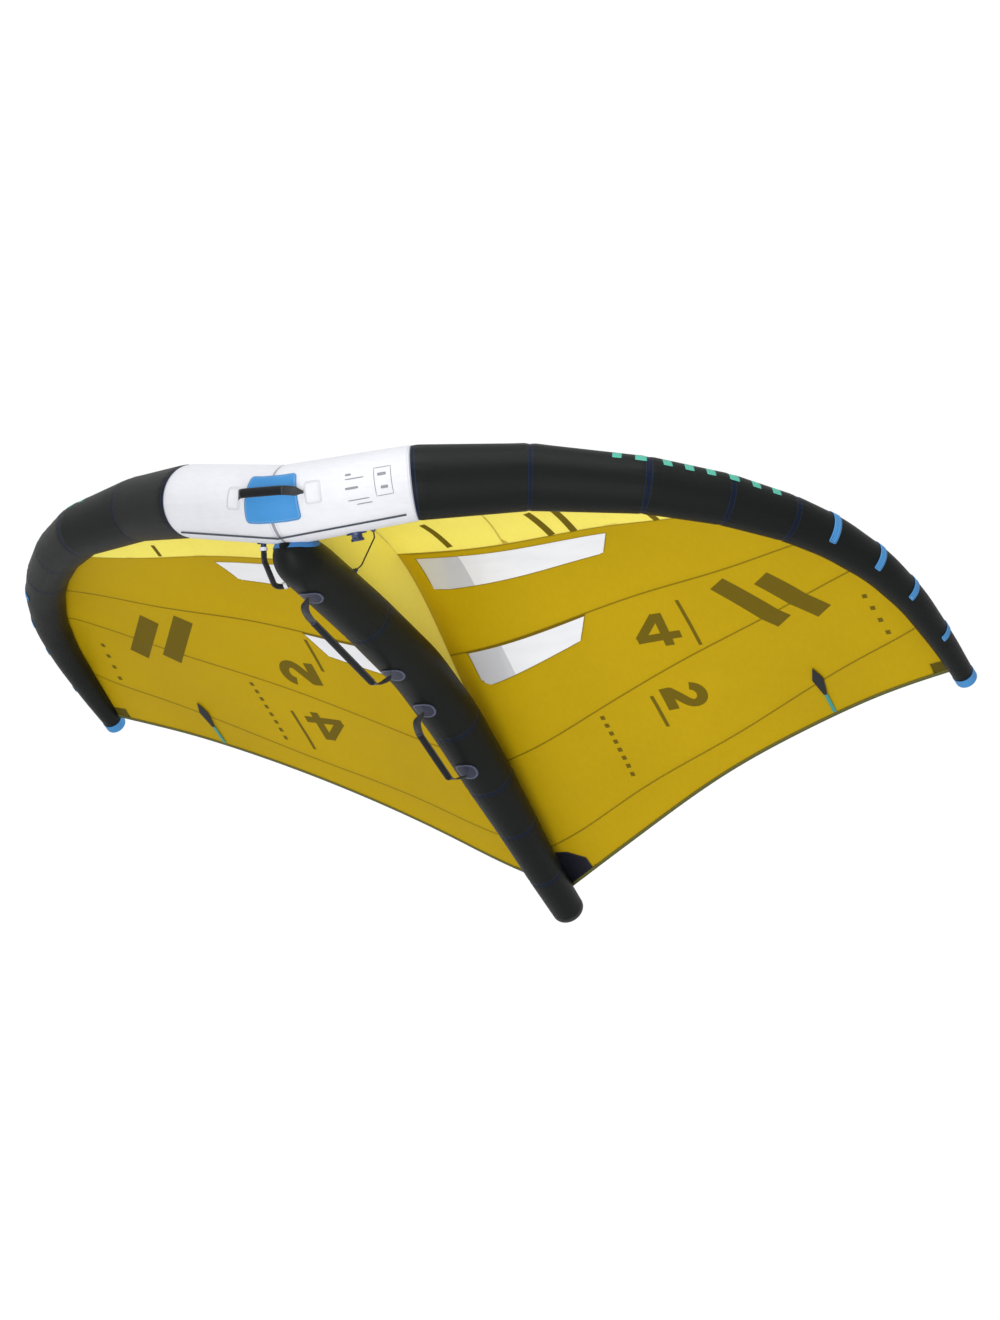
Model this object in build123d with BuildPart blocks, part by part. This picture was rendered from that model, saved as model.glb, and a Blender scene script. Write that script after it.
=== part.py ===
"""Inflatable hand-held wing: a delta-shaped kite held in the hands.

Millimetres. +X is the right-hand wing tip, +Y runs aft along the strut, +Z is up, with the wing
in its flying attitude. The origin is the seat of the front handle, on the nose of the leading
edge at mid-span. "aft" and "up" below are measured from the leading edge's axis at mid-span.
"""

import os
from math import cos, radians, sin, sqrt

from build123d import *

os.makedirs("parts", exist_ok=True)

# ---------------------------------------------------------------- driving dimensions
half_span = 1425.0  # mid-span to the tip of the leading edge
tip_sweep = 1417.0  # how far aft the tips lie
tip_rise = 317.0  # how far the tips rise above the middle
edge_root_diameter = 218.0  # leading edge at mid-span
edge_tip_diameter = 60.0  # leading edge at the tips
root_chord = 1985.0  # leading edge axis to trailing edge at mid-span
root_camber = 185.0  # crest of the canopy above its chord line at mid-span
strut_diameter = 160.0  # strut at its fattest
cloth = 1.2  # thickness of a canopy panel
casing_wall = 1.2  # thickness of the woven tube casings
bladder_wall = 1.0  # thickness of the airtight bladders
bladder_gap = 0.6  # bladder to casing
clear = 0.3  # room between neighbours that only lie against each other

# front handle on the leading edge
handle_drop = 28.0  # degrees below the horizon, seen from the leading edge's axis
front_handle_reach = 100.0  # mid-span to each end of the front handle
front_handle_standoff = 52.0  # how far the grip stands off the pad
# strut handles: where each one is sewn on, as shares of the root chord, and how far it hangs
front_grip_ends = (0.107, 0.358)
rear_grip_ends = (0.467, 0.626)
front_grip_drop = 62.0
rear_grip_drop = 58.0
strap_diameter = 10.0  # webbing core of every handle
sleeve_diameter = 22.0  # soft sleeve round it
sleeve_room = 0.3  # sleeve bore to webbing, on the radius
patch = 2.0  # thickness of sewn reinforcement patches

# inflation valve
valve_bore_radius = 9.0
valve_neck_radius = 15.0
valve_neck_height = 16.0
valve_flange_radius = 28.0
valve_flange = 3.0
valve_cap_wall = 2.5
valve_span = 169.0  # mid-span to the valve
valve_turn = 42.0  # degrees that the valve faces aft of straight down

# leading edge: shares of half span, tip sweep, tip rise, and of root-to-tip diameter
edge_plan = [
    (0.000, 0.000, 0.000, 1.00),
    (0.246, 0.030, 0.240, 0.92),
    (0.432, 0.120, 0.525, 0.78),
    (0.628, 0.212, 0.670, 0.61),
    (0.748, 0.312, 0.803, 0.52),
    (0.838, 0.411, 0.898, 0.44),
    (0.897, 0.496, 0.948, 0.38),
    (0.949, 0.606, 0.981, 0.28),
    (0.979, 0.729, 1.000, 0.18),
    (0.994, 0.876, 1.000, 0.08),
    (1.000, 1.000, 1.000, 0.00),
]
# strut: share of root chord, height of its upper line, share of the strut diameter
strut_plan = [
    (0.018, -90.0, 0.20),
    (0.026, -64.0, 0.53),
    (0.040, -41.0, 0.76),
    (0.062, -24.0, 0.90),
    (0.090, -5.0, 0.94),
    (0.253, 60.0, 0.97),
    (0.421, 113.0, 1.00),
    (0.550, 115.0, 1.00),
    (0.687, 84.0, 0.92),
    (0.796, 52.0, 0.79),
    (0.915, 15.0, 0.67),
    (1.008, -1.0, 0.62),
]
# canopy ribs: share of half span, then the trailing edge's place as shares of root chord and tip rise
rib_plan = [
    (0.000, 1.000, 0.012),
    (0.100, 0.950, 0.070),
    (0.232, 0.899, 0.250),
    (0.449, 0.817, 0.510),
    (0.667, 0.756, 0.740),
    (0.814, 0.721, 0.865),
    (0.912, 0.704, 0.940),
    (0.989, 0.697, 1.015),
]
# shape of a rib between its ends: share of the way aft, share of the rib's own camber
rib_shape = [(0.22, 1.00), (0.50, 0.72), (0.78, 0.26)]
# panel seams in plan, front to back: shares of half span and of root chord
seam_plan = [
    [(0.00, 0.290), (0.45, 0.288), (0.60, 0.283), (0.76, 0.262)],
    [(0.00, 0.496), (0.32, 0.448), (0.60, 0.412), (0.86, 0.370)],
    [(0.00, 0.713), (0.25, 0.636), (0.50, 0.562), (0.67, 0.514), (0.93, 0.440)],
    [(0.00, 0.905), (0.30, 0.800), (0.52, 0.735), (0.75, 0.655), (1.00, 0.580)],
]

# ---------------------------------------------------------------- places worked out from them
edge_root_radius = edge_root_diameter / 2
axis_y = edge_root_radius * cos(radians(handle_drop))
axis_z = edge_root_radius * sin(radians(handle_drop))
tall = 3 * edge_root_diameter  # taller than the whole wing, for cuts that go right through


def at(x, aft, up):
    """A point from its span, and its place aft of and above the leading edge's axis."""
    return Vector(x, axis_y + aft, axis_z + up)


def between(rows, x, column):
    """Value of a column of rows at x, straight between the rows on either side."""
    for low, high in zip(rows, rows[1:]):
        if x <= high[0]:
            break
    share = (x - low[0]) / (high[0] - low[0])
    return low[column] + share * (high[column] - low[column])


edge_rows = [
    (
        u * half_span,
        sweep * tip_sweep,
        rise * tip_rise,
        (edge_tip_diameter + fat * (edge_root_diameter - edge_tip_diameter)) / 2,
    )
    for u, sweep, rise, fat in edge_plan
]
strut_rows = [
    (c * root_chord, top - fat * strut_diameter / 2, fat * strut_diameter / 2)
    for c, top, fat in strut_plan
]


def tube_rings(rows):
    """Planes square to a tube at its stations, with the tube's radius at each."""
    points = [at(x, aft, up) for x, aft, up, _ in rows]
    rings = []
    for i, here in enumerate(points):
        before = (here - points[i - 1]).normalized() if i > 0 else Vector()
        after = (points[i + 1] - here).normalized() if i + 1 < len(points) else Vector()
        heading = (before + after).normalized()
        upward = (Vector(0, 0, 1) - heading * heading.Z).normalized()
        rings.append((Plane(origin=here, x_dir=upward, z_dir=heading), rows[i][3]))
    return rings


def tube(rings, inset=0.0):
    """Solid of straight tapered lengths through the rings, inset from their radius."""
    with BuildPart() as body:
        for plane, radius in rings:
            with BuildSketch(plane):
                Circle(radius - inset)
        loft(ruled=True)
    return body.part


def finish(piece, name):
    """Label a piece and write its file."""
    piece.label = name
    export_step(piece, f"parts/{name}.step")


def both_sides(piece, name):
    """Write a right-hand piece and its mirror image."""
    with BuildPart() as right:
        add(piece)
    finish(right.part, f"{name}_right")
    with BuildPart() as left:
        mirror(piece, about=Plane.YZ)
    finish(left.part, f"{name}_left")


def edge_at(x):
    """Aft, up and radius of the leading edge at a span."""
    return [between(edge_rows, x, k) for k in (1, 2, 3)]


def strut_at(aft):
    """Up and radius of the strut at a distance aft."""
    return [between(strut_rows, aft, k) for k in (1, 2)]


mirrored_rows = [(-x, aft, up, r) for x, aft, up, r in edge_rows[:0:-1]]
edge_rings = tube_rings(mirrored_rows + edge_rows)
middle = len(edge_rows) - 1  # the ring at mid-span
strut_rings = tube_rings([(0, aft, up, r) for aft, up, r in strut_rows])
edge_outside = tube(edge_rings)
edge_keep_out = tube(edge_rings, -clear)
strut_keep_out = tube(strut_rings, -clear)

# ---------------------------------------------------------------- leading edge
# the inflation valve looks down and aft from the underside of the leading edge
valve_aft, valve_up, valve_edge_radius = edge_at(valve_span)
edge_heading = (at(*edge_rows[1][:3]) - at(*edge_rows[0][:3])).normalized()
valve_out = Vector(0, sin(radians(valve_turn)), -cos(radians(valve_turn)))
valve_out = (valve_out - edge_heading * valve_out.dot(edge_heading)).normalized()
valve_seat = at(valve_span, valve_aft, valve_up) + valve_out * (valve_edge_radius + clear)
valve_plane = Plane(origin=valve_seat, x_dir=edge_heading, z_dir=valve_out)
valve_stem_wall = 2.0
valve_stem_radius = valve_bore_radius + valve_stem_wall
valve_stem_length = 14.0  # neck that reaches in through the casing and bladder

with BuildPart() as edge_casing_centre:
    add(tube(edge_rings[middle - 1 : middle + 2]))
    add(tube(edge_rings[middle - 1 : middle + 2], casing_wall), mode=Mode.SUBTRACT)
    with BuildSketch(valve_plane):
        Circle(valve_stem_radius + clear)
    extrude(amount=-valve_stem_length, mode=Mode.SUBTRACT)
finish(edge_casing_centre.part, "edge_casing_centre")

with BuildPart() as edge_casing_side:
    add(tube(edge_rings[middle + 1 :]))
    add(tube(edge_rings[middle + 1 :], casing_wall), mode=Mode.SUBTRACT)
both_sides(edge_casing_side.part, "edge_casing")

bladder_inset = casing_wall + bladder_gap
with BuildPart() as edge_bladder:
    add(tube(edge_rings, bladder_inset))
    add(tube(edge_rings, bladder_inset + bladder_wall), mode=Mode.SUBTRACT)
    with BuildSketch(valve_plane):
        Circle(valve_stem_radius + clear)
    extrude(amount=-2 * valve_stem_length, mode=Mode.SUBTRACT)
finish(edge_bladder.part, "edge_bladder")

tip_cap_reach = 24.0  # how far a cap reaches back along the tube
tip_cap_end = 10.0  # its length beyond the tube's end
tip_cap_wall = 1.2
tip_cap_rounding = 5.0
tip_plane, tip_radius = edge_rings[-1]
with BuildPart() as tip_cap:
    with BuildSketch(tip_plane.offset(-tip_cap_reach)):
        Circle(tip_radius + 2 * tip_cap_wall)
    extrude(amount=tip_cap_reach + tip_cap_end)
    fillet(tip_cap.edges().group_by(Axis.Y)[-1], radius=tip_cap_rounding)
    with BuildSketch(tip_plane.offset(-tip_cap_reach)):
        Circle(tip_radius + tip_cap_wall)
    extrude(amount=tip_cap_reach + clear, mode=Mode.SUBTRACT)
    add(edge_keep_out, mode=Mode.SUBTRACT)
both_sides(tip_cap.part, "tip_cap")

# bands: station that each one follows, share of the way to the next
band_places = [(5, 0.82), (6, 0.82), (7, 0.72), (8, 0.76)]
band_half_width = 11.0
band_thickness = 1.2
band_under = 0.75  # share of the radius below the axis where a band's lower end lies
band_inboard = 0.60  # share of the radius inboard of the axis where its upper end lies
with BuildPart() as edge_bands:
    for station, share in band_places:
        low = edge_rows[station]
        high = edge_rows[station + 1]
        x, aft, up, radius = [a + share * (b - a) for a, b in zip(low, high)]
        heading = (at(*high[:3]) - at(*low[:3])).normalized()
        inboard = Vector(0, 0, 1).cross(heading).normalized()
        with BuildSketch(Plane(origin=at(x, aft, up), z_dir=heading)):
            Circle(radius + 3 * band_thickness)
        extrude(amount=band_half_width, both=True)
        size = 6 * radius
        upright = Plane(origin=at(x, aft, up), x_dir=inboard, z_dir=inboard.cross(heading) * -1)
        with Locations(upright):
            with Locations((0, 0, -size / 2 - band_under * radius)):
                Box(size, size, size, mode=Mode.SUBTRACT)
            with Locations((size / 2 + band_inboard * radius, 0, 0)):
                Box(size, size, size, mode=Mode.SUBTRACT)
    add(tube(edge_rings[middle + 4 :], -clear - band_thickness), mode=Mode.INTERSECT)
    add(edge_keep_out, mode=Mode.SUBTRACT)
both_sides(edge_bands.part, "edge_bands")

# cord that closes the casing's long seam, along the underside of the middle
piping_radius = 2.5
seam_drop = 3.0  # piping to the casing's underside
seam_points = []
for x in (-edge_rows[1][0], 0.0, edge_rows[1][0]):
    seam_aft, seam_up, seam_edge_radius = edge_at(abs(x))
    seam_points.append(at(x, seam_aft, seam_up - seam_edge_radius - piping_radius - seam_drop))
with BuildPart() as seam_piping:
    with BuildLine():
        Polyline(*seam_points)
    with BuildSketch(Plane(origin=seam_points[0], z_dir=seam_points[1] - seam_points[0])):
        Circle(piping_radius)
    sweep(transition=Transition.RIGHT)
finish(seam_piping.part, "seam_piping")

# ---------------------------------------------------------------- strut
strut_body_start = 4  # the first strut station with a full section, behind the rounded nose
with BuildPart() as strut_casing:
    add(tube(strut_rings))
    add(tube(strut_rings[2:], casing_wall), mode=Mode.SUBTRACT)
    add(edge_keep_out, mode=Mode.SUBTRACT)
finish(strut_casing.part, "strut_casing")

tail_plane, tail_radius = strut_rings[-1]
with BuildPart() as strut_bladder:
    add(tube(strut_rings[strut_body_start:], bladder_inset))
    add(tube(strut_rings[strut_body_start:], bladder_inset + bladder_wall), mode=Mode.SUBTRACT)
    with BuildSketch(tail_plane):
        Circle(tail_radius - bladder_inset)
    extrude(amount=-bladder_wall)
    add(edge_keep_out, mode=Mode.SUBTRACT)
finish(strut_bladder.part, "strut_bladder")

tail_cap_length = 26.0
tail_cap_share = 0.8  # share of the cap's length that is rounded
with BuildPart() as strut_tail_cap:
    with BuildSketch(tail_plane.offset(clear)):
        Circle(tail_radius)
    extrude(amount=tail_cap_length)
    fillet(strut_tail_cap.edges().group_by(Axis.Y)[-1], radius=tail_cap_share * tail_cap_length)
finish(strut_tail_cap.part, "strut_tail_cap")

cuff_width = 16.0  # flange of cloth that sews the strut to the leading edge
cuff_thickness = 1.8
with BuildPart() as strut_cuff:
    add(tube(strut_rings, -clear - cuff_thickness))
    add(strut_keep_out, mode=Mode.SUBTRACT)
    add(tube(edge_rings[middle - 1 : middle + 2], -cuff_width), mode=Mode.INTERSECT)
    add(edge_keep_out, mode=Mode.SUBTRACT)
finish(strut_cuff.part, "strut_cuff")

# ---------------------------------------------------------------- canopy
rows_of_ribs = [(u * half_span, c * root_chord, rise * tip_rise) for u, c, rise in rib_plan]


def rib_points(x, end_aft, end_up):
    """Points of a rib's upper line: from inside the leading edge to the trailing edge."""
    edge_aft, edge_up, edge_radius = edge_at(x)
    lean = edge_radius * sqrt(0.5)  # the canopy leaves the tube halfway between aft and up
    camber = root_camber * (1 - x / half_span) ** 1.5
    front_aft = edge_aft + lean
    front_up = edge_up + lean
    points = [(edge_aft + 0.7 * lean, edge_up + 0.7 * lean)]
    for share, height in rib_shape:
        aft = front_aft + share * (end_aft - front_aft)
        points.append((aft, front_up + share * (end_up - front_up) + height * camber))
    points.append((end_aft, end_up))
    return [(axis_y + aft, axis_z + up) for aft, up in points]


def canopy_half(thickness, drop=0.0):
    """Right half of the canopy as a curved sheet of a thickness, let down by a drop."""
    with BuildPart() as sheet:
        for x, end_aft, end_up in rows_of_ribs:
            upper = [(y, z - drop) for y, z in rib_points(x, end_aft, end_up)]
            lower = [(y, z - thickness) for y, z in upper]
            with BuildSketch(Plane.YZ.offset(x)):
                with BuildLine():
                    Spline(*upper)
                    Spline(*lower)
                    Line(upper[0], lower[0])
                    Line(upper[-1], lower[-1])
                make_face()
        loft()
        add(edge_keep_out, mode=Mode.SUBTRACT)
    return sheet.part


def behind(seam):
    """Tall prism over everything aft of a seam, on the right-hand side."""
    points = [(u * half_span, axis_y + c * root_chord) for u, c in seam]
    far = axis_y + 1.5 * root_chord
    with BuildPart() as prism:
        with BuildSketch(Plane.XY.offset(-tall)):
            with BuildLine():
                Polyline(points[-1], (1.2 * half_span, points[-1][1]), (1.2 * half_span, far))
                Polyline((1.2 * half_span, far), (0, far), points[0])
                Spline(*points)
            make_face()
        extrude(amount=2 * tall)
    return prism.part


def outline_prism(points, rounding=0.0, corners=()):
    """Tall prism on an outline in plan: span, and distance aft of the leading edge's axis."""
    flat = [(x, axis_y + aft) for x, aft in points]
    with BuildPart() as prism:
        with BuildSketch(Plane.XY.offset(-tall)) as outline:
            with BuildLine():
                Polyline(*flat, close=True)
            make_face()
            if corners:
                rounded = [outline.vertices().sort_by_distance((*flat[i], -tall))[0] for i in corners]
                fillet(rounded, radius=rounding)
        extrude(amount=2 * tall)
    return prism.part


# windows in plan, right-hand side: span, and distance aft of the leading edge's axis
front_window = [(45.0, 606.0), (44.0, 738.0), (92.0, 741.0), (592.0, 688.0), (632.0, 606.0)]
rear_window = [(63.0, 978.0), (63.0, 1090.0), (96.0, 1101.0), (415.0, 986.0), (458.0, 898.0)]
window_rounding = 14.0
tail_patch_outline = [(-5.0, 1815.0), (60.0, 1815.0), (112.0, 1845.0), (132.0, 1960.0), (-5.0, 2100.0)]
tip_patch_outline = [(1345.0, 1340.0), (1345.0, 1450.0), (1440.0, 1450.0), (1440.0, 1340.0)]
tape_width = 12.0

canopy = canopy_half(cloth)
front_pane = outline_prism(front_window, window_rounding, (1, 3))
rear_pane = outline_prism(rear_window, window_rounding, (1, 3))
tail_patch_prism = outline_prism(tail_patch_outline)
tip_patch_prism = outline_prism(tip_patch_outline)
hem_seam = [(u, c - tape_width / root_chord) for u, c, _ in rib_plan]
hem_prism = behind(hem_seam)
seams = [behind(seam) for seam in seam_plan]
panel_names = ["canopy_front_band", "canopy_panel_1", "canopy_panel_2", "canopy_panel_3", "canopy_panel_4"]

for number, name in enumerate(panel_names):
    with BuildPart() as panel:
        add(canopy)
        if number > 0:
            add(seams[number - 1], mode=Mode.INTERSECT)
        if number < len(seams):
            add(seams[number], mode=Mode.SUBTRACT)
        else:
            add(hem_prism, mode=Mode.SUBTRACT)
            add(tail_patch_prism, mode=Mode.SUBTRACT)
        if number == 1:
            add(front_pane, mode=Mode.SUBTRACT)
        if number == 2:
            add(rear_pane, mode=Mode.SUBTRACT)
        if number >= 3:
            add(tip_patch_prism, mode=Mode.SUBTRACT)
            add(tail_patch_prism, mode=Mode.SUBTRACT)
    both_sides(panel.part, name)

for name, prism in (("window_front", front_pane), ("window_rear", rear_pane)):
    with BuildPart() as pane:
        add(canopy)
        add(prism, mode=Mode.INTERSECT)
    both_sides(pane.part, name)

with BuildPart() as hem_tape:
    add(canopy)
    add(hem_prism, mode=Mode.INTERSECT)
    add(tail_patch_prism, mode=Mode.SUBTRACT)
    add(tip_patch_prism, mode=Mode.SUBTRACT)
both_sides(hem_tape.part, "hem_tape")

for name, prism in (("tail_patch", tail_patch_prism), ("tip_patch", tip_patch_prism)):
    with BuildPart() as corner:
        add(canopy)
        add(prism, mode=Mode.INTERSECT)
    both_sides(corner.part, name)

# battens that keep the trailing edge flat, and the pocket under each
batten_span = 1023.0
batten_front = 1300.0
batten_back = 1458.0
batten_half_width = 5.0
batten_thickness = 1.6
pocket_front = 1256.0
pocket_back = 1375.0
pocket_half_width = 17.0
pocket_shoulder = pocket_front + 50.0  # where the pocket is widest
pocket_rounding = 8.0
with BuildPart() as batten:
    add(canopy_half(batten_thickness, cloth + clear))
    rod = [(batten_span - batten_half_width, batten_front), (batten_span - batten_half_width, batten_back)]
    rod += [(batten_span + batten_half_width, batten_back), (batten_span + batten_half_width, batten_front)]
    add(outline_prism(rod), mode=Mode.INTERSECT)
both_sides(batten.part, "batten")

with BuildPart() as batten_pocket:
    add(canopy_half(cloth, cloth + batten_thickness + 2 * clear))
    pocket = [(batten_span, pocket_front), (batten_span + pocket_half_width, pocket_shoulder)]
    pocket += [(batten_span + batten_half_width, pocket_back)]
    pocket += [(batten_span - batten_half_width, pocket_back)]
    pocket += [(batten_span - pocket_half_width, pocket_shoulder)]
    add(outline_prism(pocket, pocket_rounding, (1, 4)), mode=Mode.INTERSECT)
both_sides(batten_pocket.part, "batten_pocket")

# upright web of cloth that holds the canopy off the strut
web_top = [(y, z - cloth - clear) for y, z in rib_points(*rows_of_ribs[0])]
with BuildPart() as strut_web:
    with BuildSketch(Plane.YZ.offset(-cloth / 2)):
        with BuildLine():
            Spline(*web_top)
            Polyline(web_top[-1], (web_top[-1][0], -tall), (web_top[0][0], -tall), web_top[0])
        make_face()
    extrude(amount=cloth)
    add(tube(strut_rings[: strut_body_start + 2], -cuff_thickness - 2 * clear), mode=Mode.SUBTRACT)
    add(strut_keep_out, mode=Mode.SUBTRACT)
    add(edge_keep_out, mode=Mode.SUBTRACT)
finish(strut_web.part.solids().sort_by(Axis.Z)[-1], "strut_web")

# ---------------------------------------------------------------- front handle
handle_out = Vector(0, -cos(radians(handle_drop)), -sin(radians(handle_drop)))
handle_down = Vector(0, sin(radians(handle_drop)), -cos(radians(handle_drop)))
strap_radius = strap_diameter / 2
seat_room = 1.0  # webbing to its patch
seat_height = 2 * clear + patch + strap_radius + seat_room  # strap pivot above the cloth it is sewn to
anchor_aft, anchor_up, anchor_edge_radius = edge_at(front_handle_reach)
handle_pivot = at(0, anchor_aft, anchor_up) + handle_out * (anchor_edge_radius + seat_height)
edge_patch_skin = tube(edge_rings[middle - 1 : middle + 2], -clear - patch)

pad_half_width = 58.0
pad_half_height = 66.0
anchor_half_width = 22.0
anchor_half_height = 30.0
patch_corner = 8.0


def nose_patch(centres, half_width, half_height):
    """Cloth patches on the nose of the leading edge, round the front handle."""
    with BuildPart() as cloth_patch:
        with BuildSketch(Plane(origin=at(0, 0, 0), x_dir=(1, 0, 0), z_dir=handle_out)):
            with Locations(*[(x, 0) for x in centres]):
                RectangleRounded(2 * half_width, 2 * half_height, patch_corner)
        extrude(amount=2 * edge_root_radius)
        add(edge_patch_skin, mode=Mode.INTERSECT)
        add(edge_keep_out, mode=Mode.SUBTRACT)
    return cloth_patch.part


with BuildPart() as front_handle_pad:
    add(nose_patch([0.0], pad_half_width, pad_half_height))
finish(front_handle_pad.part, "front_handle_pad")

with BuildPart() as front_handle_anchors:
    reach = front_handle_reach
    add(nose_patch([-reach, reach], anchor_half_width, anchor_half_height))
finish(front_handle_anchors.part, "front_handle_anchors")


def strap(points, bend):
    """Round webbing along straight runs and bends, with rounded ends."""
    with BuildPart() as webbing:
        with BuildLine():
            FilletPolyline(*points, radius=bend)
        with BuildSketch(Plane(origin=points[0], z_dir=points[1] - points[0])):
            Circle(strap_radius)
        sweep()
        with Locations(points[0], points[-1]):
            Sphere(strap_radius)
    return webbing.part


sleeve_rounding = 3.0


def sleeve(start, end, spare_start, spare_end):
    """Soft tube round a straight run of webbing, short of its bends."""
    along = (end - start).normalized()
    with BuildPart() as tube_grip:
        with BuildSketch(Plane(origin=start + along * spare_start, z_dir=along)):
            Circle(sleeve_diameter / 2)
            Circle(strap_radius + sleeve_room, mode=Mode.SUBTRACT)
        extrude(amount=(end - start).length - spare_start - spare_end)
        rims = tube_grip.edges().filter_by(GeomType.CIRCLE).sort_by(SortBy.RADIUS)[-2:]
        fillet(rims, radius=sleeve_rounding)
    return tube_grip.part


shoulder = 0.70 * front_handle_reach  # where the strap has come out to its full standoff
shoulder_spare = 14.0  # bare webbing between each shoulder and the sleeve
side = Vector(1, 0, 0)
strap_points = [
    handle_pivot - side * front_handle_reach,
    handle_pivot - side * shoulder + handle_out * front_handle_standoff,
    handle_pivot + side * shoulder + handle_out * front_handle_standoff,
    handle_pivot + side * front_handle_reach,
]
strap_bend = 24.0
with BuildPart() as front_handle_strap:
    add(strap(strap_points, strap_bend))
finish(front_handle_strap.part, "front_handle_strap")
with BuildPart() as front_handle_sleeve:
    add(sleeve(strap_points[1], strap_points[2], shoulder_spare, shoulder_spare))
finish(front_handle_sleeve.part, "front_handle_sleeve")

# ---------------------------------------------------------------- strut handles
strut_patch_skin = tube(strut_rings, -clear - patch)
grip_bend = 12.0
grip_spare_front = 8.0  # bare webbing ahead of each sleeve
grip_spare_back = 12.0  # and behind it
oval_half_width = 32.0
oval_half_length = 26.0
# run of each handle's webbing: share of the way between its ends, and of its drop
front_grip_run = [(0.00, 0.00), (-0.01, 0.60), (0.06, 0.82), (0.87, 1.08), (0.96, 0.52), (1.00, 0.00)]
rear_grip_run = [(0.00, 0.00), (-0.08, 0.85), (0.02, 1.18), (0.73, 1.24), (0.87, 0.70), (1.00, 0.00)]
grip_pivots = {}
for name, ends, drop, run in (
    ("front_grip", front_grip_ends, front_grip_drop, front_grip_run),
    ("rear_grip", rear_grip_ends, rear_grip_drop, rear_grip_run),
):
    pivots = []
    for share in ends:
        aft = share * root_chord
        up, radius = strut_at(aft)
        pivots.append(at(0, aft, up - radius - seat_height))
    first, last = pivots
    grip_pivots[name] = pivots
    points = [first + (last - first) * share - Vector(0, 0, hang * drop) for share, hang in run]
    with BuildPart() as grip_strap:
        add(strap(points, grip_bend))
    finish(grip_strap.part, f"{name}_strap")
    with BuildPart() as grip_sleeve:
        add(sleeve(points[2], points[3], grip_spare_front, grip_spare_back))
    finish(grip_sleeve.part, f"{name}_sleeve")
    with BuildPart() as grip_anchors:
        for pivot in pivots:
            with BuildSketch(Plane.XY.offset(pivot.Z - strut_diameter / 2)):
                with Locations((0, pivot.Y)):
                    Ellipse(oval_half_width, oval_half_length)
            extrude(amount=strut_diameter)
        add(strut_patch_skin, mode=Mode.INTERSECT)
        add(strut_keep_out, mode=Mode.SUBTRACT)
    finish(grip_anchors.part, f"{name}_anchors")

# ---------------------------------------------------------------- inflation valve
valve_neck_top = valve_flange + valve_neck_height
valve_flange_root = 6.0  # how far the flange reaches down to meet the curved cloth
# plane square to the hinge pin: across the valve, then away from the cloth
hinge_plane = Plane(origin=valve_plane.origin, x_dir=valve_plane.y_dir, z_dir=valve_plane.x_dir)
hinge_room = 7.0  # neck to hinge pin
hinge_offset = valve_neck_radius + hinge_room  # hinge pin from the valve's axis
cap_lip = 4.0  # how far the cap reaches down the neck
cap_room = 0.6
cap_bore = valve_neck_radius + cap_room
cap_radius = cap_bore + valve_cap_wall
hinge_height = valve_neck_top - cap_lip
pin_radius = 1.25
knuckle_radius = 2.6
hinge_half_width = 8.0
barrel_half_width = 4.0
running = 0.05
tab_size = 14.0  # thumb tab on the cap
tab_rounding = 5.0
arm_overlap = 4.0  # how far the hinge arm runs in under the cap

with BuildPart() as valve_base:
    with BuildSketch(valve_plane.offset(-valve_flange_root)):
        Circle(valve_flange_radius)
    extrude(amount=valve_flange_root + valve_flange)
    with BuildSketch(valve_plane):
        with Locations((0, hinge_offset)):
            Rectangle(2 * hinge_half_width, 2 * knuckle_radius)
    extrude(amount=hinge_height)
    with BuildSketch(hinge_plane):
        with Locations((hinge_offset, hinge_height)):
            Circle(knuckle_radius)
    extrude(amount=hinge_half_width, both=True)
    with BuildSketch(hinge_plane):
        with Locations((hinge_offset, hinge_height)):
            Rectangle(3 * knuckle_radius, 3 * knuckle_radius)
    extrude(amount=barrel_half_width + clear, both=True, mode=Mode.SUBTRACT)
    add(edge_keep_out, mode=Mode.SUBTRACT)
    with BuildSketch(valve_plane.offset(-valve_stem_length)):
        Circle(valve_stem_radius)
    extrude(amount=valve_stem_length)
    with BuildSketch(valve_plane):
        Circle(valve_neck_radius)
    extrude(amount=valve_neck_top)
    with BuildSketch(valve_plane.offset(-valve_stem_length)):
        Circle(valve_bore_radius)
    extrude(amount=valve_stem_length + valve_neck_top, mode=Mode.SUBTRACT)
    with BuildSketch(hinge_plane):
        with Locations((hinge_offset, hinge_height)):
            Circle(pin_radius)
    extrude(amount=hinge_half_width, both=True, mode=Mode.SUBTRACT)
finish(valve_base.part, "valve_base")

with BuildPart() as valve_cap:
    with BuildSketch(valve_plane.offset(hinge_height)):
        Circle(cap_radius)
        with Locations((0, -cap_radius)):
            RectangleRounded(tab_size, tab_size, tab_rounding)
        with Locations((0, (cap_radius + hinge_offset) / 2)):
            Rectangle(2 * barrel_half_width, hinge_offset - cap_radius + arm_overlap)
    extrude(amount=cap_lip + clear + valve_cap_wall)
    with BuildSketch(valve_plane.offset(hinge_height)):
        Circle(cap_bore)
    extrude(amount=cap_lip + clear, mode=Mode.SUBTRACT)
    with BuildSketch(hinge_plane):
        with Locations((hinge_offset, hinge_height)):
            Circle(knuckle_radius)
    extrude(amount=barrel_half_width, both=True)
    with BuildSketch(hinge_plane):
        with Locations((hinge_offset, hinge_height)):
            Circle(pin_radius + running)
    extrude(amount=hinge_half_width, both=True, mode=Mode.SUBTRACT)
finish(valve_cap.part, "valve_cap")

with BuildPart() as valve_pin:
    with BuildSketch(hinge_plane):
        with Locations((hinge_offset, hinge_height)):
            Circle(pin_radius)
    extrude(amount=hinge_half_width, both=True)
finish(valve_pin.part, "valve_pin")

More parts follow.
